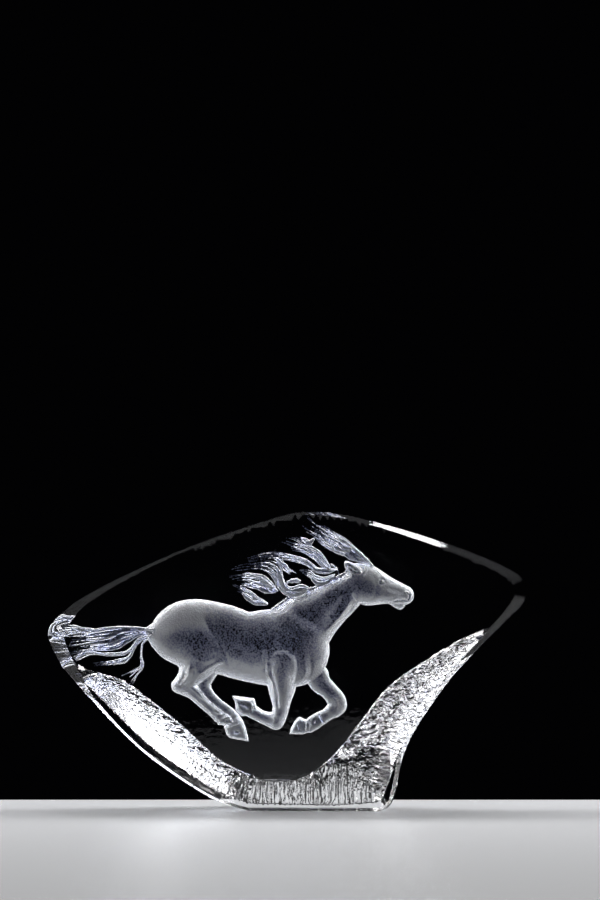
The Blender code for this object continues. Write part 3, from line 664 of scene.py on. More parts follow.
@dataclass
class HorseCarving:
    """The galloping horse, drawn on its own grid of squares.

    Attributes:
        length: From the dock of the tail to the muzzle, in metres.
        dock: The dock's x and the lowest hoof's z, in metres.
        relief: Depth where the horse is fullest, in metres.
        squares: Length of the horse on its grid.
        fullest: Squares of depth that make the full relief.
        body_edge: Drop at the body's edge, in squares.
        blend: Over which difference of depth two limbs run into each other, in squares.
        fullness: How flat the crowns of strands and of limbs are; 2 is round.
        body_least: Least depth of the body inside its edge, in squares.
        soft_edge: Over which the strokes run out at the body's edge, in squares.
        combing: Share of a strand's depth that it adds where it lies over the body.
        seed: Seed of the strands' small differences.
        limbs: The limbs' lines, worked out.
        strands: The strands' lines, worked out.
    """

    length: float = 0.1127
    dock: tuple[float, float] = (-0.0594, 0.0274)
    relief: float = 0.0068
    squares: float = 267.0
    fullest: float = 14.5
    body_edge: float = 1.6
    blend: float = 3.0
    fullness: tuple[float, float] = (2.0, 2.3)
    body_least: float = 0.8
    soft_edge: float = 2.0
    combing: float = 0.35
    seed: int = 11
    limbs: list[np.ndarray] = field(default_factory=list)
    strands: list[np.ndarray] = field(default_factory=list)

    def __post_init__(self) -> None:
        """Works out the limbs' and strands' lines."""
        rng = np.random.default_rng(self.seed)
        self.limbs = [limb.line(self.body_edge) for limb in LIMBS]
        self.strands = [line for lock in (*MANE, *TAIL) for line in lock.lines(rng)]

    @property
    def square(self) -> float:
        """One square of the grid, in metres."""
        return self.length / self.squares

    def on_grid(self, places: np.ndarray) -> np.ndarray:
        """Places in metres, as places on the grid."""
        return (places - np.array(self.dock)) / self.square

    def off_grid(self, places: np.ndarray) -> np.ndarray:
        """Places on the grid, as places in metres."""
        return places * self.square + np.array(self.dock)

    def sweep(
        self, places: np.ndarray, lines: list[np.ndarray], fullness: float, soft: float = 0.0
    ) -> tuple[np.ndarray, np.ndarray, np.ndarray, np.ndarray]:
        """Reads rounded forms that follow lines.

        Args:
            places: Places on the grid.
            lines: Rows of place, half width, depth, drop at the edge and tone for each form.
            fullness: How flat a form's crown is; 2 is round.
            soft: Over which difference of depth two forms run into each other, in squares.

        Returns:
            Distances, negative inside, depths, tones and how near each place is to its form's
            middle line, from 0 to 1.
        """
        far, depth = np.full(len(places), np.inf), np.zeros(len(places))
        tone, crest = np.zeros(len(places)), np.zeros(len(places))
        for stations in lines:
            whole = np.zeros(len(places))
            for start, end in zip(stations, stations[1:]):
                run = end - start
                reach = max(start[2], end[2]) + NEAR_EDGE
                low, high = np.minimum(start, end)[:2] - reach, np.maximum(start, end)[:2] + reach
                some = np.flatnonzero((places[:, 0] > low[0]) & (places[:, 0] < high[0])
                                      & (places[:, 1] > low[1]) & (places[:, 1] < high[1]))
                here = places[some]
                share = np.clip((here - start[:2]) @ run[:2] / (run[:2] @ run[:2] + TINY), 0, 1)
                gone = np.hypot(*(here - start[:2] - share[:, None] * run[:2]).T)
                half, crown, edge, light = (start[k] + share * run[k] for k in range(2, 6))
                dome = np.sqrt(np.clip(1 - (gone / half) ** fullness, 0, 1))
                far[some] = np.minimum(far[some], gone - half)
                swell = np.where(gone < half, edge + (crown - edge) * dome, 0)
                whole[some] = np.maximum(whole[some], swell)
                won = swell > depth[some]
                tone[some] = np.where(won, light, tone[some])
                crest[some] = np.where(won, dome, crest[some])
                if not soft:
                    depth[some] = np.where(won, swell, depth[some])
            if soft:
                near = np.clip(1 - np.abs(depth - whole) / soft, 0, 1)
                near = np.where((depth > 0) & (whole > 0), near, 0)
                depth = np.maximum(depth, whole) + soft / 4 * near**2
        return far, depth, tone, crest

    def drawn(self, places: np.ndarray, strokes: tuple[Stroke, ...]) -> np.ndarray:
        """What strokes add to the depth, and as painted light and shade to the tone.

        Args:
            places: Places on the grid.
            strokes: The grooves and ridges.

        Returns:
            Rows of the change of depth, in squares, and of tone.
        """
        added = np.zeros((len(places), 2))
        for stroke in strokes:
            line = spline(stroke.rows, 4)
            reach = STROKE_REACH * stroke.half
            low, high = line.min(0) - reach, line.max(0) + reach
            some = np.flatnonzero(((places > low) & (places < high)).all(1))
            here = places[some]
            gone, where = np.full(len(some), np.inf), np.zeros(len(some))
            for k, (start, end) in enumerate(zip(line, line[1:])):
                run = end - start
                share = np.clip((here - start) @ run / (run @ run + TINY), 0, 1)
                away = np.hypot(*(here - start - share[:, None] * run).T)
                where = np.where(away < gone, (k + share) / (len(line) - 1), where)
                gone = np.minimum(gone, away)
            ends = np.clip(STROKE_END + STROKE_GAIN * np.minimum(where, 1 - where), 0, 1)
            near = ends * np.exp(-((gone / stroke.half) ** 2))
            added[some] += near[:, None] * (stroke.rise, stroke.light)
        return added

    def read(self, places: np.ndarray) -> tuple[np.ndarray, ...]:
        """Reads the carving at some places on the grid.

        Args:
            places: Places on the grid.

        Returns:
            Distances from the body's edge and from the hair's, depths, tones of painted light
            and shade, and shares of hair, from 0 to 1.
        """
        hair, strands, strand_painted_light, crest = self.sweep(places, self.strands, self.fullness[0])
        body, depth, tone, _ = self.sweep(places, self.limbs, self.fullness[1], self.blend)
        for hoof in HOOVES:
            away, _ = measure(places, np.array(hoof.corners, float))
            body = np.minimum(body, away)
            share = np.clip(-away / hoof.run, 0, 1)
            full = self.body_edge + (hoof.crown - self.body_edge) * np.sqrt(1 - (1 - share) ** 2)
            won = (away < 0) & (full > depth)
            # A hoof's tone is its painted light
            depth, tone = np.where(won, full, depth), np.where(won, hoof.light, tone)
        inside = inset(-body, self.soft_edge)
        # The strokes add depth, and painted light and shade to the tone
        rise, light = self.drawn(places, MUSCLES + FACE + PAINTED_LIGHT_AND_SHADE).T
        depth = np.maximum(depth + inside * rise, self.body_least * inside)
        tone = tone + light * (body < 0)
        under = np.where(body < 0, depth, 0)
        combed = under + self.combing * strands * (body < 0)
        by_hair = (hair < 0) & (np.maximum(combed, strands) > under + HAIR_SHOWS)
        # Painted shade between two strands: darker there than on their crests
        strand_painted_light = strand_painted_light * (GAP_PAINTED_SHADE + (1 - GAP_PAINTED_SHADE) * crest**GAP_SHADE_WIDTH)
        return (body, hair, np.maximum(combed, strands), np.where(by_hair, strand_painted_light, tone),
                by_hair * 1.0)

    def snapped(self, places: np.ndarray) -> np.ndarray:
        """Moves places near the carving's edge onto it.

        Args:
            places: Places on the grid, near the edge.

        Returns:
            The moved places.
        """
        nudge = 0.04
        for _ in range(2):
            here, right, up = (
                np.minimum(*self.read(places + np.array(step))[:2])
                for step in ((0, 0), (nudge, 0), (0, nudge)))
            slope = np.stack([right - here, up - here], axis=1) / nudge
            steep = np.maximum((slope**2).sum(1), LEAST_SLOPE)
            places = places - (here / steep)[:, None] * slope
        return places


# The block

OUTLINE_SQUARES = (474.0, 295.0)
# Place, share of the bevel, share of the shoulder's fall, width of the ledge at the rim in squares
OUTLINE: Rows = (
    (0, 175, 1.00, 0.14, 2), (12, 145.5, 0.85, 0.14, 3), (29, 125, 0.55, 0.20, 4),
    (42, 111, 0.26, 0.50, 5), (72, 79.5, 0.14, 0.70, 6), (105, 50, 0.14, 0.70, 6),
    (155, 16.5, 0.14, 0.56, 5), (183, 4.5, 0.16, 0.50, 5), (205, 0, 0.16, 0.46, 4),
    (250, 0, 0.16, 0.46, 3), (280, 0, 0.16, 0.70, 3), (323, 0, 0.20, 1.00, 6),
    (338, 4, 0.25, 1.00, 9), (345, 20, 0.30, 0.97, 9), (351, 50, 0.30, 0.92, 4),
    (364, 79, 0.30, 0.88, 2), (395, 124.5, 0.30, 0.75, 2), (418, 150.5, 0.30, 0.50, 2),
    (434, 167, 0.35, 0.24, 2), (441, 174, 0.40, 0.07, 2), (457, 190, 0.50, 0.06, 2),
    (471, 204, 0.72, 0.05, 2), (474, 219, 0.75, 0.05, 2), (466, 233, 0.60, 0.05, 2),
    (433, 249.5, 0.45, 0.05, 2),
    (372, 271.5, 0.35, 0.05, 2), (304, 290, 0.22, 0.04, 2), (260, 295, 0.18, 0.04, 2),
    (222, 288, 0.15, 0.04, 2), (130, 256, 0.16, 0.05, 2), (47, 217, 0.40, 0.08, 2),
    (14, 194.5, 0.80, 0.12, 2),
)
FLAT: Rows = (
    (11, 175), (17, 157), (32, 140), (55, 132), (76, 125), (102, 105.5), (132, 81.5),
    (157.5, 57.5), (173.5, 45), (205.5, 30), (233, 27), (257, 31), (275.5, 44), (292, 60.5),
    (314, 90), (339, 120.5), (375, 146), (410, 167), (434, 178), (455, 199), (462, 214),
    (458, 229), (430, 245), (372.5, 267), (304, 285.5), (258, 291), (222, 284.3), (147.5, 258.5),
    (87, 233), (41, 207.5), (16, 188),
)


FOLD = 0.97  # nearness to the rim, as a share of the inset, under which a bevel folds over
GROUND = 250  # the lowest part of this many of the rim's height is ground flat


@dataclass
class Form:
    """The block's form without the carving.

    Attributes:
        low: Lowest corner of the block's box, in metres.
        high: Highest corner of the block's box, in metres.
        lean: How much thinner the block is at its top than at its foot.
        crown: How far the polished front swells in its middle.
        bevel_width: Width of the front's bevel where it is widest.
        bevel_depth: Depth of that bevel.
        fall: How far the shoulder falls back where it is deepest.
        hewn_from: Share of the fall at which the hewing begins.
        hewn_to: Share of the fall at which the hewing is full.
        swell_reach: Width over which the front swells, as a share of the height.
        fall_bend: How hollow the shoulder is; 1 is flat.
        fades: Over which the hewing fades at the ledge and at the flat.
        step: Distance between the rim's points.
    """

    low: Vector
    high: Vector
    lean: float = 0.006
    crown: float = 0.0014
    bevel_width: float = 0.0066
    bevel_depth: float = 0.0048
    fall: float = 0.0205
    hewn_from: float = 0.24
    hewn_to: float = 0.42
    swell_reach: float = 0.45
    fall_bend: float = 1.15
    fades: tuple[float, float] = (0.0006, 0.0005)
    step: float = 0.0012

    def __post_init__(self) -> None:
        """Works out the rim and the edge of the flat."""
        size = np.array([self.high.x - self.low.x, self.high.z - self.low.z])
        scale = size / np.array(OUTLINE_SQUARES)
        rows = [(*(np.array(row[:2]) * scale), *row[2:]) for row in OUTLINE]
        rim = even_loop(np.array(rows), self.step)
        low, high = rim[:, :2].min(0), rim[:, :2].max(0)
        middle = np.array([size[0] / 2, 0])
        self.rim = (rim[:, :2] - low) / (high - low) * size
        # The foot is ground level
        self.rim[self.rim[:, 1] < size[1] / GROUND, 1] = 0
        flat = even_loop(np.array(FLAT, float) * scale, self.step)
        self.flat = (flat - low) / (high - low) * size
        self.rim, self.flat = self.rim - middle, self.flat - middle
        self.bevel = self.bevel_width * rim[:, 2]
        self.drop = self.fall * rim[:, 3]
        self.hewn = Ramp(self.hewn_from, self.hewn_to).of(rim[:, 3])
        self.ledge = rim[:, 4] * scale[0]

    def along_rim(self, where: np.ndarray, values: np.ndarray) -> np.ndarray:
        """Values kept at the rim's points, read between them."""
        return np.interp(where % len(values), np.arange(len(values) + 1),
                         np.append(values, values[0]))

    def bevel_line(self, share: float) -> np.ndarray:
        """The rim moved inwards by a share of the bevel.

        Args:
            share: 1 is the bevel's inner edge.

        Returns:
            The points, less those that would fold over.
        """
        along = np.roll(self.rim, -1, axis=0) - np.roll(self.rim, 1, axis=0)
        along /= np.hypot(*along.T)[:, None]
        by = (self.bevel * share)[:, None]
        moved = self.rim + np.stack([-along[:, 1], along[:, 0]], axis=1) * by
        return moved[-measure(moved, self.rim)[0] > FOLD * by[:, 0]]

    def front(self, places: np.ndarray) -> np.ndarray:
        """The front without its place in the block's box.

        Args:
            places: Places in metres.

        Returns:
            The y at each place.
        """
        far, where = measure(places, self.rim)
        width = self.along_rim(where, self.bevel)
        slope = np.clip(1 + far / width, 0, 1) * width / self.bevel_width
        height = self.high.z - self.low.z
        swell = self.crown * (1 - inset(-far, height * self.swell_reach)) ** 2
        return self.lean * places[:, 1] / height + swell + self.bevel_depth * slope

    def back(self, places: np.ndarray) -> tuple[np.ndarray, np.ndarray]:
        """The back without the carving.

        Args:
            places: Places in metres.

        Returns:
            The y below the flat's, and rows for the hewing: place along the rim, share of the way
            from the ledge to the flat, and strength.
        """
        far, where = measure(places, self.rim)
        inner, _ = measure(places, self.flat)
        inner = np.maximum(inner, 0)
        over = np.maximum(-far - self.along_rim(where, self.ledge), 0)
        share = over / np.maximum(over + inner, TINY)
        fall = self.along_rim(where, self.drop) * (1 - share) ** self.fall_bend
        fall = np.where(inner > 0, fall, 0)
        hewn = self.along_rim(where, self.hewn) * inset(over, self.fades[0])
        hewn = hewn * inset(inner, self.fades[1])
        return -fall, np.column_stack([where * self.step, share, hewn])


@dataclass(frozen=True)
class Grain:
    """Sizes of a fine grain.

    Attributes:
        scale: Grains in a metre.
        contrast: How strongly the tone varies.
        patches: Larger patches in a metre.
    """

    scale: float
    contrast: float
    patches: float


class Nodes:
    """Builds a node tree, a node and its links at a time."""

    def __init__(self, tree: bpy.types.NodeTree) -> None:
        """Keeps the tree.

        Args:
            tree: The tree to build in.
        """
        self.tree = tree
        self.column = 0

    def add(self, kind: str, inputs: dict[str | int, object] | None = None,
            **options: object) -> bpy.types.Node:
        """Adds a node.

        Args:
            kind: The node's type.
            inputs: Values or sockets for its inputs, by name or number.
            **options: The node's own settings.

        Returns:
            The new node.
        """
        node = self.tree.nodes.new(kind)
        node.location = (self.column * 180, 0)
        self.column += 1
        for name, value in options.items():
            setattr(node, name, value)
        for name, value in (inputs or {}).items():
            self.feed(node.inputs[name], value)
        return node

    def feed(self, socket: bpy.types.NodeSocket, value: object) -> None:
        """Sets a socket or links another to it.

        Args:
            socket: The input.
            value: A plain value, or the output to link.
        """
        if isinstance(value, bpy.types.NodeSocket):
            self.tree.links.new(value, socket)
        else:
            socket.default_value = value

    def math(self, operation: str, *values: object) -> bpy.types.NodeSocket:
        """A sum of one kind.

        Args:
            operation: What is done, as Blender names it.
            *values: The numbers or sockets.

        Returns:
            The result's socket.
        """
        return self.add("ShaderNodeMath", dict(enumerate(values)), operation=operation).outputs[0]

    def ramp(self, value: bpy.types.NodeSocket, ramp: Ramp) -> bpy.types.NodeSocket:
        """The run's value for another's socket."""
        return self.add("ShaderNodeMapRange", {
            "Value": value, "From Min": ramp.start, "From Max": ramp.end, "To Min": ramp.low,
            "To Max": ramp.high}).outputs[0]


DOT = 0.55  # distance from its middle at which a grain ends, in grains
PATCH_SHARE = 0.4  # how much the larger patches count in a grain's tone


def grain_group() -> bpy.types.NodeTree:
    """The grain that the sandblast and pressing leave, as a group shared by the finishes.

    Returns:
        A group with a tone and a height, from a scale, a contrast and a patch size.
    """
    made = bpy.data.node_groups.get("crystal_grain")
    if made:
        return made
    made = bpy.data.node_groups.new("crystal_grain", "ShaderNodeTree")
    for name, default in (("Scale", 2500.0), ("Contrast", 0.5), ("Patches", 90.0)):
        socket = made.interface.new_socket(name, in_out="INPUT", socket_type="NodeSocketFloat")
        socket.default_value = default
    for name in ("Tone", "Height"):
        made.interface.new_socket(name, in_out="OUTPUT", socket_type="NodeSocketFloat")
    nodes = Nodes(made)
    given = nodes.add("NodeGroupInput").outputs
    place = nodes.add("ShaderNodeTexCoord").outputs["Object"]
    fine = nodes.add("ShaderNodeTexNoise", {
        "Vector": place, "Scale": given["Scale"], "Detail": 3.0, "Roughness": 0.65})
    dots = nodes.add("ShaderNodeTexVoronoi", {"Vector": place, "Scale": given["Scale"]})
    broad = nodes.add("ShaderNodeTexNoise", {
        "Vector": place, "Scale": given["Patches"], "Detail": 2.0})
    spots = nodes.math("SUBTRACT", DOT, dots.outputs["Distance"])
    mixed = nodes.math("ADD", nodes.math("SUBTRACT", fine.outputs["Fac"], 0.5), spots)
    patches = nodes.math("SUBTRACT", broad.outputs["Fac"], 0.5)
    mixed = nodes.math("MULTIPLY_ADD", patches, PATCH_SHARE, mixed)
    tone = nodes.math("MULTIPLY_ADD", mixed, given["Contrast"], 0.5)
    height = nodes.math("ADD", fine.outputs["Fac"], spots)
    nodes.add("NodeGroupOutput", {
        "Tone": nodes.math("MINIMUM", nodes.math("MAXIMUM", tone, 0.0), 1.0),
        "Height": height})
    return made


class Finishing:
    """Starts a material with its shader and output."""

    def __init__(self, name: str) -> None:
        """Makes the material.

        Args:
            name: The material's name.
        """
        self.material = bpy.data.materials.new(name)
        self.material.use_nodes = True
        self.shader = self.material.node_tree.nodes["Principled BSDF"]
        self.nodes = Nodes(self.material.node_tree)

    def grain(self, grain: Grain) -> bpy.types.Node:
        """Places the shared grain with its own values.

        Args:
            grain: The grain's sizes.

        Returns:
            The group's node.
        """
        node = self.nodes.add("ShaderNodeGroup", node_tree=grain_group())
        node.inputs["Scale"].default_value = grain.scale
        node.inputs["Contrast"].default_value = grain.contrast
        node.inputs["Patches"].default_value = grain.patches
        return node

    def bump(self, strength: float, depth: float,
             height: bpy.types.NodeSocket) -> bpy.types.NodeSocket:
        """Turns a height into the shader's normal.

        Args:
            strength: How strongly it shows.
            depth: What a height of 1 stands for, in metres.
            height: The height.

        Returns:
            The normal's socket.
        """
        return self.nodes.add("ShaderNodeBump", {
            "Strength": strength, "Distance": depth, "Height": height}).outputs["Normal"]

    def set(self, **values: object) -> None:
        """Sets the shader's own sockets, with spaces in their names as underscores."""
        for name, value in values.items():
            self.nodes.feed(self.shader.inputs[name.replace("_", " ")], value)


CRYSTAL_IOR = 1.54


@dataclass(frozen=True)
class PolishedCrystal:
    """Clear polished lead crystal, with the faint ripple of a pressed surface.

    Attributes:
        tint: Its colour.
        rough: Roughness at the grain's strongest.
        ripple: How strongly the ripple shows.
        depth: Depth of the ripple, in metres.
        grain: The ripple's sizes.
    """

    tint: Colour = (0.985, 0.99, 1.0, 1.0)
    rough: float = 0.02
    ripple: float = 0.04
    depth: float = 0.0002
    grain: Grain = Grain(400.0, 0.04, 30.0)

    def material(self) -> bpy.types.Material:
        """Builds the finish.

        Returns:
            The material.
        """
        made = Finishing("clear_crystal")
        grain = made.grain(self.grain)
        rough = made.nodes.math("MULTIPLY", grain.outputs["Tone"], self.rough)
        normal = made.bump(self.ripple, self.depth, grain.outputs["Height"])
        made.set(Base_Color=self.tint, Roughness=rough, Metallic=0.0, IOR=CRYSTAL_IOR,
                 Transmission_Weight=1.0, Normal=normal)
        return made.material


@dataclass(frozen=True)
class FrostedCrystalPaintedLight:
    """Sandblasted crystal with painted light and shade: dark blue where it lies flat, white where
    it slopes.

    Attributes:
        flat: Painted shade, the colour where the carving lies flat.
        middle: Colour between the two.
        steep: Painted light, the colour where the carving slopes.
        stops: Places of the last two colours on the scale of painted light.
        shine: Colour of what the sandblasted surface mirrors.
        speckle: How far the grain spreads the colours.
        unspecked: Level of painted white at which the specks would be gone, so white edges have
            few.
        rough: Roughness where the carving lies flat, and how much a slope adds.
        transmission: Share of the light that goes in.
        pits: How strongly the grain's pits show, and their depth in metres.
        grain: The grain that the sandblast leaves.
    """

    flat: Colour = (0.028, 0.032, 0.10, 1.0)
    middle: Colour = (0.19, 0.23, 0.52, 1.0)
    steep: Colour = (0.84, 0.89, 1.0, 1.0)
    stops: tuple[float, float] = (0.32, 0.85)
    shine: Colour = (0.55, 0.6, 1.0, 1.0)
    speckle: float = 0.6
    unspecked: float = 1.15
    rough: tuple[float, float] = (0.3, 0.35)
    transmission: float = 0.96
    pits: tuple[float, float] = (0.6, 0.00015)
    grain: Grain = Grain(1500.0, 2.4, 90.0)

    def material(self) -> bpy.types.Material:
        """Builds the finish.

        Returns:
            The material.
        """
        made = Finishing("frosted_carving_painted_light")
        nodes = made.nodes
        grain = made.grain(self.grain)
        frost_with_painted_light = nodes.add("ShaderNodeAttribute", attribute_name="frost_with_painted_light").outputs["Fac"]
        speck = nodes.math("SUBTRACT", grain.outputs["Tone"], 0.5)
        dark = nodes.math("SUBTRACT", self.unspecked, frost_with_painted_light)
        speck = nodes.math("MULTIPLY", nodes.math("MULTIPLY", speck, self.speckle), dark)
        mixed = nodes.math("ADD", frost_with_painted_light, speck)
        # The ramp paints light and shade: dark blue where the carving lies flat, white where it
        # slopes
        ramp = nodes.add("ShaderNodeValToRGB", {"Fac": mixed})
        stops = ramp.color_ramp.elements
        stops[0].color = self.flat
        stops[1].color = self.steep
        stops[1].position = self.stops[1]
        stops.new(self.stops[0]).color = self.middle
        rough = nodes.math("MULTIPLY_ADD", mixed, self.rough[1], self.rough[0])
        normal = made.bump(*self.pits, grain.outputs["Height"])
        made.set(Base_Color=ramp.outputs["Color"], Roughness=rough, Metallic=0.0,
                 IOR=CRYSTAL_IOR, Transmission_Weight=self.transmission,
                 Specular_Tint=self.shine, Normal=normal)
        return made.material


@dataclass(frozen=True)
class HewnCrystal:
    """Rough hewn crystal, cut into ribs and chips that turn the light from behind to the front.

    Attributes:
        tint: Its colour.
        rough: Roughness of the smoothest places, and how much the grain adds.
        depth: Of the ribs and chips, in metres.
        ribs: Ribs in a metre of the rim.
        bend: How far a rib runs along the rim before it reaches the flat, in metres.
        chips: Chips in a metre.
        drawn: How the chips are drawn out across, behind and up.
        turned: How far the chips are turned about Y.
        pits: Depth of the grain, as a share of the chips' depth.
        grain: The grain of the broken surface.
    """

    tint: Colour = (0.99, 1.0, 0.99, 1.0)
    rough: tuple[float, float] = (0.04, 0.12)
    depth: float = 0.0036
    ribs: float = 520.0
    bend: float = 0.0016
    chips: float = 640.0
    drawn: tuple[float, float, float] = (0.45, 0.2, 1.0)
    turned: float = 0.45
    pits: float = 0.02
    grain: Grain = Grain(900.0, 0.3, 120.0)

    def material(self) -> bpy.types.Material:
        """Builds the finish.

        Returns:
            The material.
        """
        made = Finishing("hewn_shoulder")
        nodes = made.nodes
        grain = made.grain(self.grain)
        place = nodes.add("ShaderNodeAttribute", attribute_name="hewing").outputs["Vector"]
        along, share, _ = nodes.add("ShaderNodeSeparateXYZ", {0: place}).outputs
        cuts = nodes.add("ShaderNodeAttribute", attribute_name="chisel").outputs["Vector"]
        rib_depth, chip_depth, lean = nodes.add("ShaderNodeSeparateXYZ", {0: cuts}).outputs
        # Ribs run from the rim to the flat
        line = nodes.add("ShaderNodeCombineXYZ", {
            0: along, 1: nodes.math("MULTIPLY", share, self.bend)}).outputs[0]
        rib = nodes.add("ShaderNodeTexNoise", {
            "Vector": line, "Scale": self.ribs, "Detail": 2.0}).outputs[0]
        # Chips are drawn out across the block
        place = nodes.add("ShaderNodeTexCoord").outputs["Object"]
        drawn = nodes.add("ShaderNodeMapping", {
            "Vector": place, "Rotation": (0.0, self.turned, 0.0), "Scale": self.drawn})
        chip = nodes.add("ShaderNodeTexNoise", {
            "Vector": drawn.outputs[0], "Scale": self.chips, "Detail": 1.0}).outputs[0]
        height = nodes.math("MULTIPLY_ADD", rib, rib_depth, lean)
        height = nodes.math("MULTIPLY_ADD", chip, chip_depth, height)
        height = nodes.math("MULTIPLY_ADD", grain.outputs["Height"], self.pits, height)
        rough = nodes.math("MULTIPLY_ADD", grain.outputs["Tone"], self.rough[1], self.rough[0])
        made.set(Base_Color=self.tint, Roughness=rough, Metallic=0.0, IOR=CRYSTAL_IOR,
                 Transmission_Weight=1.0, Normal=made.bump(1.0, self.depth, height))
        return made.material


@dataclass(frozen=True)
class Chisel:
    """How deep the hewn finish is cut from place to place, its full depth being 1.

    Attributes:
        right: By x, how far a place belongs to the right side.
        foot: By z and by x, depth of the ribs on the foot.
        ledge: By share, how the ribs on the right side run out towards the flat.
        ribs: Depth of the ribs elsewhere and on the right side.
        flat: By share, depth of the chips near the flat.
        chips: By share, depth of the chips on the right side.
        heel: By x and by z, how far a place belongs to the heel.
        sole: By x and by z, how far the sole beside it is cut away with it.
        corner: By x, how that runs out towards the right corner.
        away: How far the heel is cut away, evenly from the ledge to the flat.
    """

    right: Ramp = Ramp(0.018, 0.030)
    foot: tuple[Ramp, Ramp] = (Ramp(0.012, 0.022, 1.8, 0.0), Ramp(-0.024, -0.010, 0.2, 1.0))
    ledge: Ramp = Ramp(0.25, 0.55, 1.0, 0.2)
    ribs: tuple[float, float] = (0.18, 0.6)
    flat: Ramp = Ramp(0.5, 0.8, 0.0, 0.45)
    chips: Ramp = Ramp(0.15, 0.4, 0.35, 1.0)
    heel: tuple[Ramp, Ramp] = (Ramp(0.006, 0.022), Ramp(0.018, 0.028, 1.0, 0.0))
    sole: tuple[Ramp, Ramp] = (Ramp(-0.026, -0.012, 0.0, 0.5), Ramp(0.012, 0.020, 1.0, 0.0))
    corner: Ramp = Ramp(0.036, 0.043, 1.0, 0.0)
    away: float = 14.0

    def cuts(self, points: np.ndarray, share: np.ndarray) -> np.ndarray:
        """Reads the depths at some points.

        Args:
            points: The points.
            share: Their shares of the way from the ledge to the flat.

        Returns:
            Rows of the ribs' depth, the chips' depth and how far the heel is cut away, which
            lets the light out at the back there.
        """
        x, _, z = points.T
        right = self.right.of(x)
        on_foot = self.foot[0].of(z) * self.foot[1].of(x)
        on_right = self.ribs[1] * right * self.ledge.of(share)
        ribs = np.maximum(np.maximum(self.ribs[0], on_foot), on_right)
        chips = np.maximum(self.flat.of(share), right * self.chips.of(share))
        heel = self.heel[0].of(x) * self.heel[1].of(z)
        sole = self.sole[0].of(x) * self.sole[1].of(z)
        away = self.away * (np.maximum(heel, sole) * self.corner.of(x)) * (0.5 - share)
        return np.column_stack([ribs, chips, away])


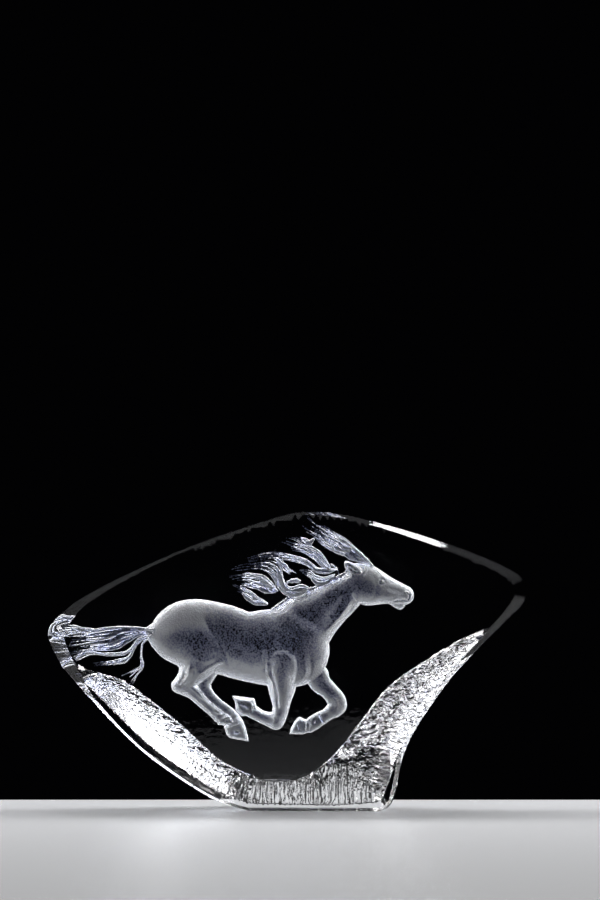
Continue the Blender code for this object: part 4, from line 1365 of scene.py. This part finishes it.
@dataclass(frozen=True)
class Hewing:
    """The chips and flutes that the chisel leaves on the shoulder.

    Attributes:
        chip: Depth of the chips, in metres.
        chip_size: Length of a chip, in metres.
        flute: Depth of the flutes that run from the rim, in metres.
        pitch: Length of two flutes, in metres.
        waver: Waves in a metre of the flutes' wavering, and its width in metres.
        turn: Waves in a metre that bend the chips' edges, and their width in metres.
        crumb: Crumbs between the chips in a metre.
        roundness: How round a flute is; under 1 it is fuller.
        squeeze: How much longer chips are across than up; 1 is not at all.
        foot: By z, how deep the flutes are on the foot.
        right: By x and by share, how deep the flutes are on the right.
        elsewhere: How deep the flutes are elsewhere.
        chips_right: By x and by z, how deep the chips are on the right.
        chips_flat: By share, how deep the chips are towards the flat.
        crumbs: Depth of the crumbs on the right and what is added everywhere, as shares.
        seed: Seed of the chips and of the flutes' wavering.
    """

    chip: float = 0.0012
    chip_size: float = 0.0034
    flute: float = 0.0007
    pitch: float = 0.0036
    waver: tuple[float, float] = (110.0, 0.006)
    turn: tuple[float, float] = (260.0, 0.0016)
    crumb: float = 420.0
    roundness: float = 0.7
    squeeze: float = 0.6
    foot: Ramp = Ramp(0.010, 0.026, 1.0, 0.0)
    right: tuple[Ramp, Ramp] = (Ramp(0.025, 0.045), Ramp(0.1, 0.55, 0.6, 0.1))
    elsewhere: float = 0.22
    chips_right: tuple[Ramp, Ramp] = (Ramp(0.020, 0.036), Ramp(0.006, 0.020, 0.3, 1.0))
    chips_flat: Ramp = Ramp(0.45, 0.85, 0.12, 0.6)
    crumbs: tuple[float, float] = (0.25, 0.08)
    seed: int = 5

    def tree(self, materials: dict[Finish, bpy.types.Material]) -> bpy.types.NodeTree:
        """Geometry Nodes that hew the shoulder and give each face its finish.

        Args:
            materials: The material of each finish.

        Returns:
            The tree.
        """
        tree = bpy.data.node_groups.new("hewn_shoulder", "GeometryNodeTree")
        tree.interface.new_socket("Geometry", in_out="INPUT", socket_type="NodeSocketGeometry")
        for name in ("Chip Depth", "Chip Size", "Flute Depth", "Flute Pitch", "Seed"):
            tree.interface.new_socket(name, in_out="INPUT", socket_type="NodeSocketFloat")
        tree.interface.new_socket("Geometry", in_out="OUTPUT", socket_type="NodeSocketGeometry")
        nodes = Nodes(tree)
        given = nodes.add("NodeGroupInput").outputs
        named = nodes.add("GeometryNodeInputNamedAttribute", {"Name": "hewing"},
                          data_type="FLOAT_VECTOR").outputs["Attribute"]
        along, share, strength = nodes.add("ShaderNodeSeparateXYZ", {0: named}).outputs
        place = nodes.add("GeometryNodeInputPosition").outputs[0]
        x, _, z = nodes.add("ShaderNodeSeparateXYZ", {0: place}).outputs

        # Flutes run from the rim inwards and are deepest along the foot
        wobble = nodes.add("ShaderNodeTexNoise", {
            "Vector": place, "W": given["Seed"], "Scale": self.waver[0], "Detail": 2.0},
            noise_dimensions="4D")
        bent = nodes.math("MULTIPLY_ADD", wobble.outputs[0], self.waver[1], along)
        turn = nodes.math("MULTIPLY", nodes.math("DIVIDE", bent, given["Flute Pitch"]), 2 * math.pi)
        rib = nodes.math("ABSOLUTE", nodes.math("SINE", turn))
        rib = nodes.math("POWER", rib, self.roundness)
        at_foot = nodes.ramp(z, self.foot)
        at_right = nodes.math(
            "MULTIPLY", nodes.ramp(x, self.right[0]), nodes.ramp(share, self.right[1]))
        flutes = nodes.math("MAXIMUM", nodes.math("MAXIMUM", at_foot, at_right), self.elsewhere)
        flutes = nodes.math("MULTIPLY", nodes.math("MULTIPLY", rib, given["Flute Depth"]), flutes)

        # Chips are scales that overlap, and thin out towards the left rim
        flat = nodes.add("ShaderNodeCombineXYZ", {
            0: nodes.math("MULTIPLY", x, self.squeeze), 1: 0.0, 2: z}).outputs[0]
        bend = nodes.add("ShaderNodeTexNoise", {
            "Vector": place, "W": given["Seed"], "Scale": self.turn[0], "Detail": 1.0},
            noise_dimensions="4D")
        bend = nodes.add("ShaderNodeVectorMath", {
            0: bend.outputs["Color"], 1: (self.turn[1],) * 3}, operation="MULTIPLY").outputs[0]
        flat = nodes.add("ShaderNodeVectorMath", {0: flat, 1: bend}, operation="ADD").outputs[0]
        scale = nodes.math("DIVIDE", 1.0, given["Chip Size"])
        cells = nodes.add("ShaderNodeTexVoronoi", {"Vector": flat, "Scale": scale})
        scales = nodes.math("MULTIPLY", cells.outputs["Distance"], given["Chip Depth"])
        right = nodes.math(
            "MULTIPLY", nodes.ramp(x, self.chips_right[0]), nodes.ramp(z, self.chips_right[1]))
        inside = nodes.ramp(share, self.chips_flat)
        scales = nodes.math("MULTIPLY", scales, nodes.math("MAXIMUM", right, inside))
        crumbs = nodes.add("ShaderNodeTexNoise", {
            "Vector": place, "Scale": self.crumb, "Detail": 1.0})
        small = nodes.math("MULTIPLY", crumbs.outputs[0], nodes.math(
            "MULTIPLY", given["Chip Depth"], nodes.math("MULTIPLY_ADD", right, *self.crumbs)))
        cut = nodes.math("ADD", nodes.math("ADD", scales, flutes), small)
        cut = nodes.math("MULTIPLY", nodes.math("MULTIPLY", cut, strength), -1.0)
        offset = nodes.add("ShaderNodeCombineXYZ", {1: cut}).outputs[0]
        moved = nodes.add("GeometryNodeSetPosition", {
            "Geometry": given["Geometry"], "Offset": offset}).outputs[0]
        moved = nodes.add("GeometryNodeRealizeInstances", {"Geometry": moved}).outputs[0]
        finish = nodes.add("GeometryNodeInputNamedAttribute", {"Name": "finish"},
                           data_type="INT").outputs["Attribute"]
        for kind, material in materials.items():
            chosen = nodes.add("FunctionNodeCompare", data_type="INT", operation="EQUAL")
            nodes.feed(chosen.inputs[2], finish)
            nodes.feed(chosen.inputs[3], int(kind))
            moved = nodes.add("GeometryNodeSetMaterial", {
                "Geometry": moved, "Selection": chosen.outputs[0], "Material": material,
            }).outputs[0]
        nodes.add("NodeGroupOutput", {"Geometry": moved})
        return tree

    def hew(self, piece: bpy.types.Object,
            materials: dict[Finish, bpy.types.Material]) -> bpy.types.Mesh:
        """Runs the tree on a piece.

        Args:
            piece: The piece, whose modifiers are left as they were.
            materials: The material of each finish.

        Returns:
            The plain mesh that comes out.
        """
        modifier = piece.modifiers.new("hewing", "NODES")
        modifier.node_group = self.tree(materials)
        sizes = {"Chip Depth": self.chip, "Chip Size": self.chip_size,
                 "Flute Depth": self.flute, "Flute Pitch": self.pitch, "Seed": float(self.seed)}
        for item in modifier.node_group.interface.items_tree:
            if item.in_out == "INPUT" and item.name in sizes:
                modifier[item.identifier] = sizes[item.name]
        bpy.context.view_layer.update()
        graph = bpy.context.evaluated_depsgraph_get()
        mesh = bpy.data.meshes.new_from_object(piece.evaluated_get(graph))
        piece.modifiers.remove(modifier)
        return mesh


@dataclass(frozen=True)
class FrostWithPaintedLight:
    """How white the carving is painted, with painted light on its slopes and on what faces up or
    sideways.

    Attributes:
        slope: By the angle to the flat in degrees, how white it is painted, as painted light.
        bend: How soon a slope whitens; under 1 it is sooner.
        painted_light_by_facing: Weight of the painted light on what faces up, and on what faces
            sideways as a share of that.
        catch: How soon what faces up or sideways is at its full weight.
        hair: How much less slope and what faces up or sideways count on hair, and how much more the
            tone does.
    """

    slope: Ramp = Ramp(3.0, 45.0)
    bend: float = 0.8
    painted_light_by_facing: tuple[float, float] = (0.45, 0.35)
    catch: float = 1.6
    hair: tuple[float, float, float] = (0.75, 0.6, 0.3)

    def whiteness_with_painted_light(self, normals: np.ndarray, tone: np.ndarray, by_hair: np.ndarray) -> np.ndarray:
        """How white some points are painted, with painted light by slope and by what faces up or
        sideways.

        Args:
            normals: The points' normals.
            tone: How much whiter than their slope they are painted, as painted light and shade.
            by_hair: Their shares of hair.

        Returns:
            Values from 0 to 1.
        """
        x, y, z = normals.T
        angle = np.degrees(np.arccos(np.clip(np.abs(y), 0, 1)))
        # Painted light where the carving slopes
        slope = self.slope.of(angle) ** self.bend
        # Painted light from above on what faces up, and from the sides on what faces sideways
        up = np.clip(self.catch * z, 0, 1) ** self.bend
        up = up + self.painted_light_by_facing[1] * np.clip(self.catch * np.abs(x), 0, 1)
        on_slope, on_up, on_tone = self.hair
        white = slope * (1 - on_slope * by_hair)
        white += self.painted_light_by_facing[0] * up * (1 - on_up * by_hair)
        # The tones add painted light and shade
        return np.clip(white + tone * (1 + on_tone * by_hair), 0, 1)


@dataclass(frozen=True)
class BackMesh:
    """The block's back.

    Attributes:
        points: Its points.
        faces: Its triangles.
        rim: Which of the points lie on the rim.
        finish: Each triangle's finish.
        hewing: For each point, place along the rim, share of the way from the ledge to the flat,
            and strength of the hewing.
        painted_tone_and_hair: For each point, the painted tone of light and shade, and the share of
            hair.
    """

    points: np.ndarray
    faces: np.ndarray
    rim: np.ndarray
    finish: np.ndarray
    hewing: np.ndarray
    painted_tone_and_hair: np.ndarray


HEWN_LOOK = 0.3  # strength of the hewing from which the finish is hewn


@dataclass
class CrystalBlock:
    """The whole sculpture: one closed piece of crystal.

    Attributes:
        low: Lowest corner of the block's box.
        high: Highest corner of the block's box.
        hair_step: Distance between mesh points on the hair and the head.
        body_step: Distance between mesh points on the body.
        hewn_step: Distance between mesh points on the hewn shoulder.
        plain_step: Distance between mesh points elsewhere.
        margin: Over which the carving runs out at the edge of the flat.
        least_wall: Crystal left between the carving and the front.
        crease: Angle from which an edge is shaded sharp.
        horse: The carving.
        hewing: The hewing of the shoulder.
        chisel: How deep the hewn finish is cut.
        frosting_and_painted_light: How white the carving is painted, with painted light on its
            slopes and on what faces up.
    """

    low: Vector
    high: Vector
    hair_step: float = 0.00023
    body_step: float = 0.00042
    hewn_step: float = 0.00050
    plain_step: float = 0.0030
    margin: float = 0.0022
    least_wall: float = 0.006
    crease: float = math.radians(30)
    horse: HorseCarving = field(default_factory=HorseCarving)
    hewing: Hewing = Hewing()
    chisel: Chisel = Chisel()
    frosting_and_painted_light: FrostWithPaintedLight = FrostWithPaintedLight()

    def front_mesh(self, form: Form) -> tuple[np.ndarray, np.ndarray, np.ndarray]:
        """The polished front.

        Args:
            form: The block's form.

        Returns:
            Its points, its triangles, and which of the points lie on the rim.
        """
        low, high = form.rim.min(0), form.rim.max(0)
        middle = lattice(low, high, self.plain_step)
        far, where = measure(middle, form.rim)
        middle = middle[-far > form.along_rim(where, form.bevel) + self.plain_step / 3]
        others = np.vstack([form.bevel_line(0.5), form.bevel_line(1.0), middle])
        flat, faces, rim = triangulate([form.rim], others)
        y = form.front(flat)
        return np.column_stack([flat[:, 0], y - y.min() + self.low.y, flat[:, 1]]), faces, rim

    def carved_places(self, form: Form) -> np.ndarray:
        """Places for the mesh on the horse, those near its edge moved onto it.

        Args:
            form: The block's form.

        Returns:
            The places, in metres.
        """
        fine = lattice(form.rim.min(0), form.rim.max(0), self.hair_step)
        coarse = lattice(form.rim.min(0), form.rim.max(0), self.body_step)
        found = []
        # Fine on the hair and the head, coarser elsewhere
        for grid, is_fine in ((fine, True), (coarse, False)):
            grid = self.horse.on_grid(grid)
            grid = grid[(grid > HORSE_BOX[0]).all(1) & (grid < HORSE_BOX[1]).all(1)]
            body, hair, *_, by_hair = self.horse.read(grid)
            edge = np.minimum(body, hair)
            on_head = ((grid > HEAD_BOX[0]) & (grid < HEAD_BOX[1])).all(1)
            wanted = (by_hair > 0) | (hair < FINE_ROUND) | on_head
            step = (self.hair_step if is_fine else self.body_step) / self.horse.square
            wanted = wanted if is_fine else ~wanted
            border = wanted & (np.abs(edge) < ON_EDGE * step)
            away = wanted & (edge < PAST_EDGE * step) & ~border
            found += [self.horse.snapped(grid[border]), grid[away]]
        places = self.horse.off_grid(np.vstack(found))
        return places[measure(places, form.flat)[0] < -self.hair_step]

    def back_mesh(self, form: Form) -> BackMesh:
        """The carved back.

        Args:
            form: The block's form.

        Returns:
            The back with what is kept at its points and on its faces.
        """
        low, high = form.rim.min(0), form.rim.max(0)
        band = lattice(low, high, self.hewn_step)
        far, where = measure(band, form.rim)
        inner, _ = measure(band, form.flat)
        gap = self.hewn_step * 0.5
        band = band[(far < -gap) & (inner > gap) & (form.along_rim(where, form.hewn) > 0)]
        plain = lattice(low, high, self.plain_step)
        far, where = measure(plain, form.rim)
        body, hair, *_ = self.horse.read(self.horse.on_grid(plain))
        clear = np.minimum(body, hair) * self.horse.square > self.plain_step / 2
        smooth = (form.along_rim(where, form.hewn) == 0) | (measure(plain, form.flat)[0] < 0)
        plain = plain[(far < -self.plain_step / 4) & clear & smooth]
        flat, faces, rim = triangulate(
            [form.rim, form.flat], np.vstack([self.carved_places(form), band, plain]))
        y, hewing = form.back(flat)
        body, hair, depth, tone, by_hair = self.horse.read(self.horse.on_grid(flat))
        edge = np.minimum(body, hair) * self.horse.square
        room = inset(-measure(flat, form.flat)[0], self.margin)
        depth = np.where(edge > -0.1 * self.hair_step, 0, depth)
        depth = depth * self.horse.relief / self.horse.fullest * room
        # The carving never comes too near the front
        y = y + self.high.y
        y = y - np.clip(depth, 0, y - (form.front(flat) + self.low.y) - self.least_wall)
        middle = flat[faces].mean(1)
        body, hair, *_ = self.horse.read(self.horse.on_grid(middle))
        on_flat = measure(middle, form.flat)[0] < -self.hair_step
        finish = np.where((np.minimum(body, hair) < 0) & on_flat, Finish.FROSTED, Finish.POLISHED)
        finish = np.where(form.back(middle)[1][:, 2] > HEWN_LOOK, Finish.HEWN, finish)
        points = np.column_stack([flat[:, 0], y, flat[:, 1]])
        return BackMesh(points, faces, rim, finish, hewing, np.column_stack([tone, by_hair]))

    def build(self) -> bpy.types.Object:
        """Builds the closed piece with its finishes.

        Returns:
            The piece, with a plain mesh.
        """
        form = Form(self.low, self.high)
        front, front_faces, front_rim = self.front_mesh(form)
        back = self.back_mesh(form)
        # The wall joins the two rims, point to point
        back_rim = back.rim + len(front)
        after = np.roll(np.arange(len(front_rim)), -1)
        wall = np.vstack([
            np.column_stack([front_rim[after], front_rim, back_rim]),
            np.column_stack([front_rim[after], back_rim, back_rim[after]])])
        faces = np.vstack([front_faces, back.faces[:, ::-1] + len(front), wall])
        mesh = bpy.data.meshes.new("crystal_horse")
        mesh.from_pydata(np.vstack([front, back.points]).tolist(), [], faces.tolist())
        kinds = np.full(len(faces), int(Finish.POLISHED), np.int32)
        kinds[len(front_faces):len(front_faces) + len(back.faces)] = back.finish
        mesh.attributes.new("finish", "INT", "FACE").data.foreach_set("value", kinds)
        cuts = self.chisel.cuts(back.points, back.hewing[:, 1])
        # The point rows carry the hewing, the painted tone of light and shade with the share of
        # hair, and the chisel's cuts
        for name, rows in (("hewing", back.hewing), ("painted_tone_and_hair", back.painted_tone_and_hair), ("chisel", cuts)):
            rows = np.pad(rows, ((len(front), 0), (0, 3 - rows.shape[1]))).astype(np.float32)
            mesh.attributes.new(name, "FLOAT_VECTOR", "POINT").data.foreach_set(
                "vector", rows.ravel())
        materials = {
            Finish.POLISHED: PolishedCrystal().material(),
            Finish.FROSTED: FrostedCrystalPaintedLight().material(),
            Finish.HEWN: HewnCrystal().material()}
        mesh.materials.append(materials[Finish.POLISHED])
        piece = bpy.data.objects.new("crystal_horse", mesh)
        bpy.context.scene.collection.objects.link(piece)
        piece.data = self.hewing.hew(piece, materials)
        self.dress(piece)
        return piece

    def dress(self, piece: bpy.types.Object) -> None:
        """Shades the piece and keeps how white each point is painted, with painted light and shade.

        Args:
            piece: The hewn piece.
        """
        mesh = piece.data
        mesh.shade_smooth()
        mesh.set_sharp_from_angle(angle=self.crease)
        normals = np.empty(len(mesh.vertices) * 3)
        mesh.vertex_normals.foreach_get("vector", normals)
        painted_tone_and_hair = np.empty(len(mesh.vertices) * 3, np.float32)
        mesh.attributes["painted_tone_and_hair"].data.foreach_get("vector", painted_tone_and_hair)
        tone, by_hair, _ = painted_tone_and_hair.reshape(-1, 3).T
        # How white each point is painted: painted light by slope and by what faces up or sideways,
        # with the painted tones
        frost_with_painted_light = self.frosting_and_painted_light.whiteness_with_painted_light(normals.reshape(-1, 3), tone, by_hair)
        mesh.attributes.new("frost_with_painted_light", "FLOAT", "POINT").data.foreach_set(
            "value", frost_with_painted_light.astype(np.float32))


@dataclass(frozen=True)
class SoftLight:
    """A large soft light.

    Attributes:
        place: Where it hangs.
        aim: What it points at.
        size: Its width and height.
        power: In watts.
        colour: Its colour.
    """

    place: tuple[float, float, float]
    aim: tuple[float, float, float]
    size: tuple[float, float]
    power: float
    colour: tuple[float, float, float] = (1.0, 1.0, 1.0)


@dataclass
class Studio:
    """The table top, the lights and the camera.

    Attributes:
        scale: Metres a pixel of the picture, at the object.
        distance: From the camera to the object.
        height: Of the camera's eye.
        aimed: Height of the point that is seen at the place called middle.
        middle: That point's place in the picture, in pixels from its top left.
        picture: The picture's width and height, in pixels.
        table_top: Half the table's width, its front edge's y and its back edge's y.
        pale: Colour of the table.
        surround: Colour of the surround.
        lights: The soft lights.
    """

    scale: float = 0.0004219
    distance: float = 1.6
    height: float = 0.105
    aimed: float = 0.0622
    middle: tuple[float, float] = (287.0, 660.0)
    picture: tuple[float, float] = (600.0, 900.0)
    table_top: tuple[float, float, float] = (0.9, -0.46, 0.055)
    pale: Colour = (0.22, 0.222, 0.23, 1.0)
    surround: Colour = (0.0006, 0.0006, 0.0008, 1.0)
    lights: tuple[SoftLight, ...] = (
        SoftLight((0.0, 0.26, 0.62), (0.0, 0.02, 0.05), (0.9, 0.16), 12.0),
        SoftLight((-0.55, 0.15, 0.34), (0.0, 0.0, 0.06), (0.30, 0.45), 8.0),
        SoftLight((0.55, 0.15, 0.34), (0.0, 0.0, 0.06), (0.30, 0.45), 8.0),
        SoftLight((0.14, -0.16, 0.60), (0.02, 0.0, 0.10), (0.36, 0.05), 1.2),
    )

    def table(self) -> None:
        """Lays the pale table top, which isn't part of the object."""
        mesh = bpy.data.meshes.new("table_top")
        side, front, back = self.table_top
        corners = ((-side, front, 0), (side, front, 0), (side, back, 0), (-side, back, 0))
        mesh.from_pydata(corners, [], [(0, 1, 2, 3)])
        top = bpy.data.objects.new("table_top", mesh)
        bpy.context.scene.collection.objects.link(top)
        made = Finishing("pale_table")
        made.set(Base_Color=self.pale, Roughness=0.35)
        mesh.materials.append(made.material)

    def light(self) -> None:
        """Hangs the lights and sets the dark surround."""
        for k, soft in enumerate(self.lights):
            lamp = bpy.data.lights.new(f"soft_{k}", "AREA")
            lamp.shape = "RECTANGLE"
            lamp.size, lamp.size_y = soft.size
            lamp.energy = soft.power
            lamp.color = soft.colour
            hung = bpy.data.objects.new(f"soft_{k}", lamp)
            hung.location = soft.place
            hung.visible_camera = False
            aim = Vector(soft.aim) - Vector(soft.place)
            hung.rotation_euler = aim.to_track_quat("-Z", "Y").to_euler()
            bpy.context.scene.collection.objects.link(hung)
        world = bpy.data.worlds.new("dark_surround")
        world.use_nodes = True
        world.node_tree.nodes["Background"].inputs["Color"].default_value = self.surround
        bpy.context.scene.world = world
        bpy.context.scene.view_settings.view_transform = "Standard"

    def camera(self) -> None:
        """Sets up a level camera with a long lens, the object low in its picture."""
        data = bpy.data.cameras.new("camera")
        data.lens = data.sensor_width * self.distance / (self.scale * self.picture[1])
        eye = bpy.data.objects.new("camera", data)
        across = (self.picture[0] / 2 - self.middle[0]) * self.scale
        up = (self.middle[1] - self.picture[1] / 2) * self.scale
        centre = Vector((0.0, 0.0, self.aimed))
        eye.location = (across, -self.distance, self.height)
        aim = centre + Vector((across, 0.0, up)) - eye.location
        eye.rotation_euler = aim.to_track_quat("-Z", "Y").to_euler()
        bpy.context.scene.collection.objects.link(eye)
        bpy.context.scene.camera = eye

    def build(self) -> None:
        """Sets up the whole studio."""
        self.table()
        self.light()
        self.camera()


def main() -> None:
    """Builds the sculpture and the studio round it."""
    logging.basicConfig(level=logging.INFO, format="%(name)s: %(message)s")
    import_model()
    low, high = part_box(NODE)
    piece = CrystalBlock(Vector(low), Vector(high)).build()
    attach(piece, "root")
    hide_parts(NODE)
    log.info("%s: %d triangles", piece.name, len(piece.data.polygons))
    Studio().build()


if __name__ == "__main__":
    main()
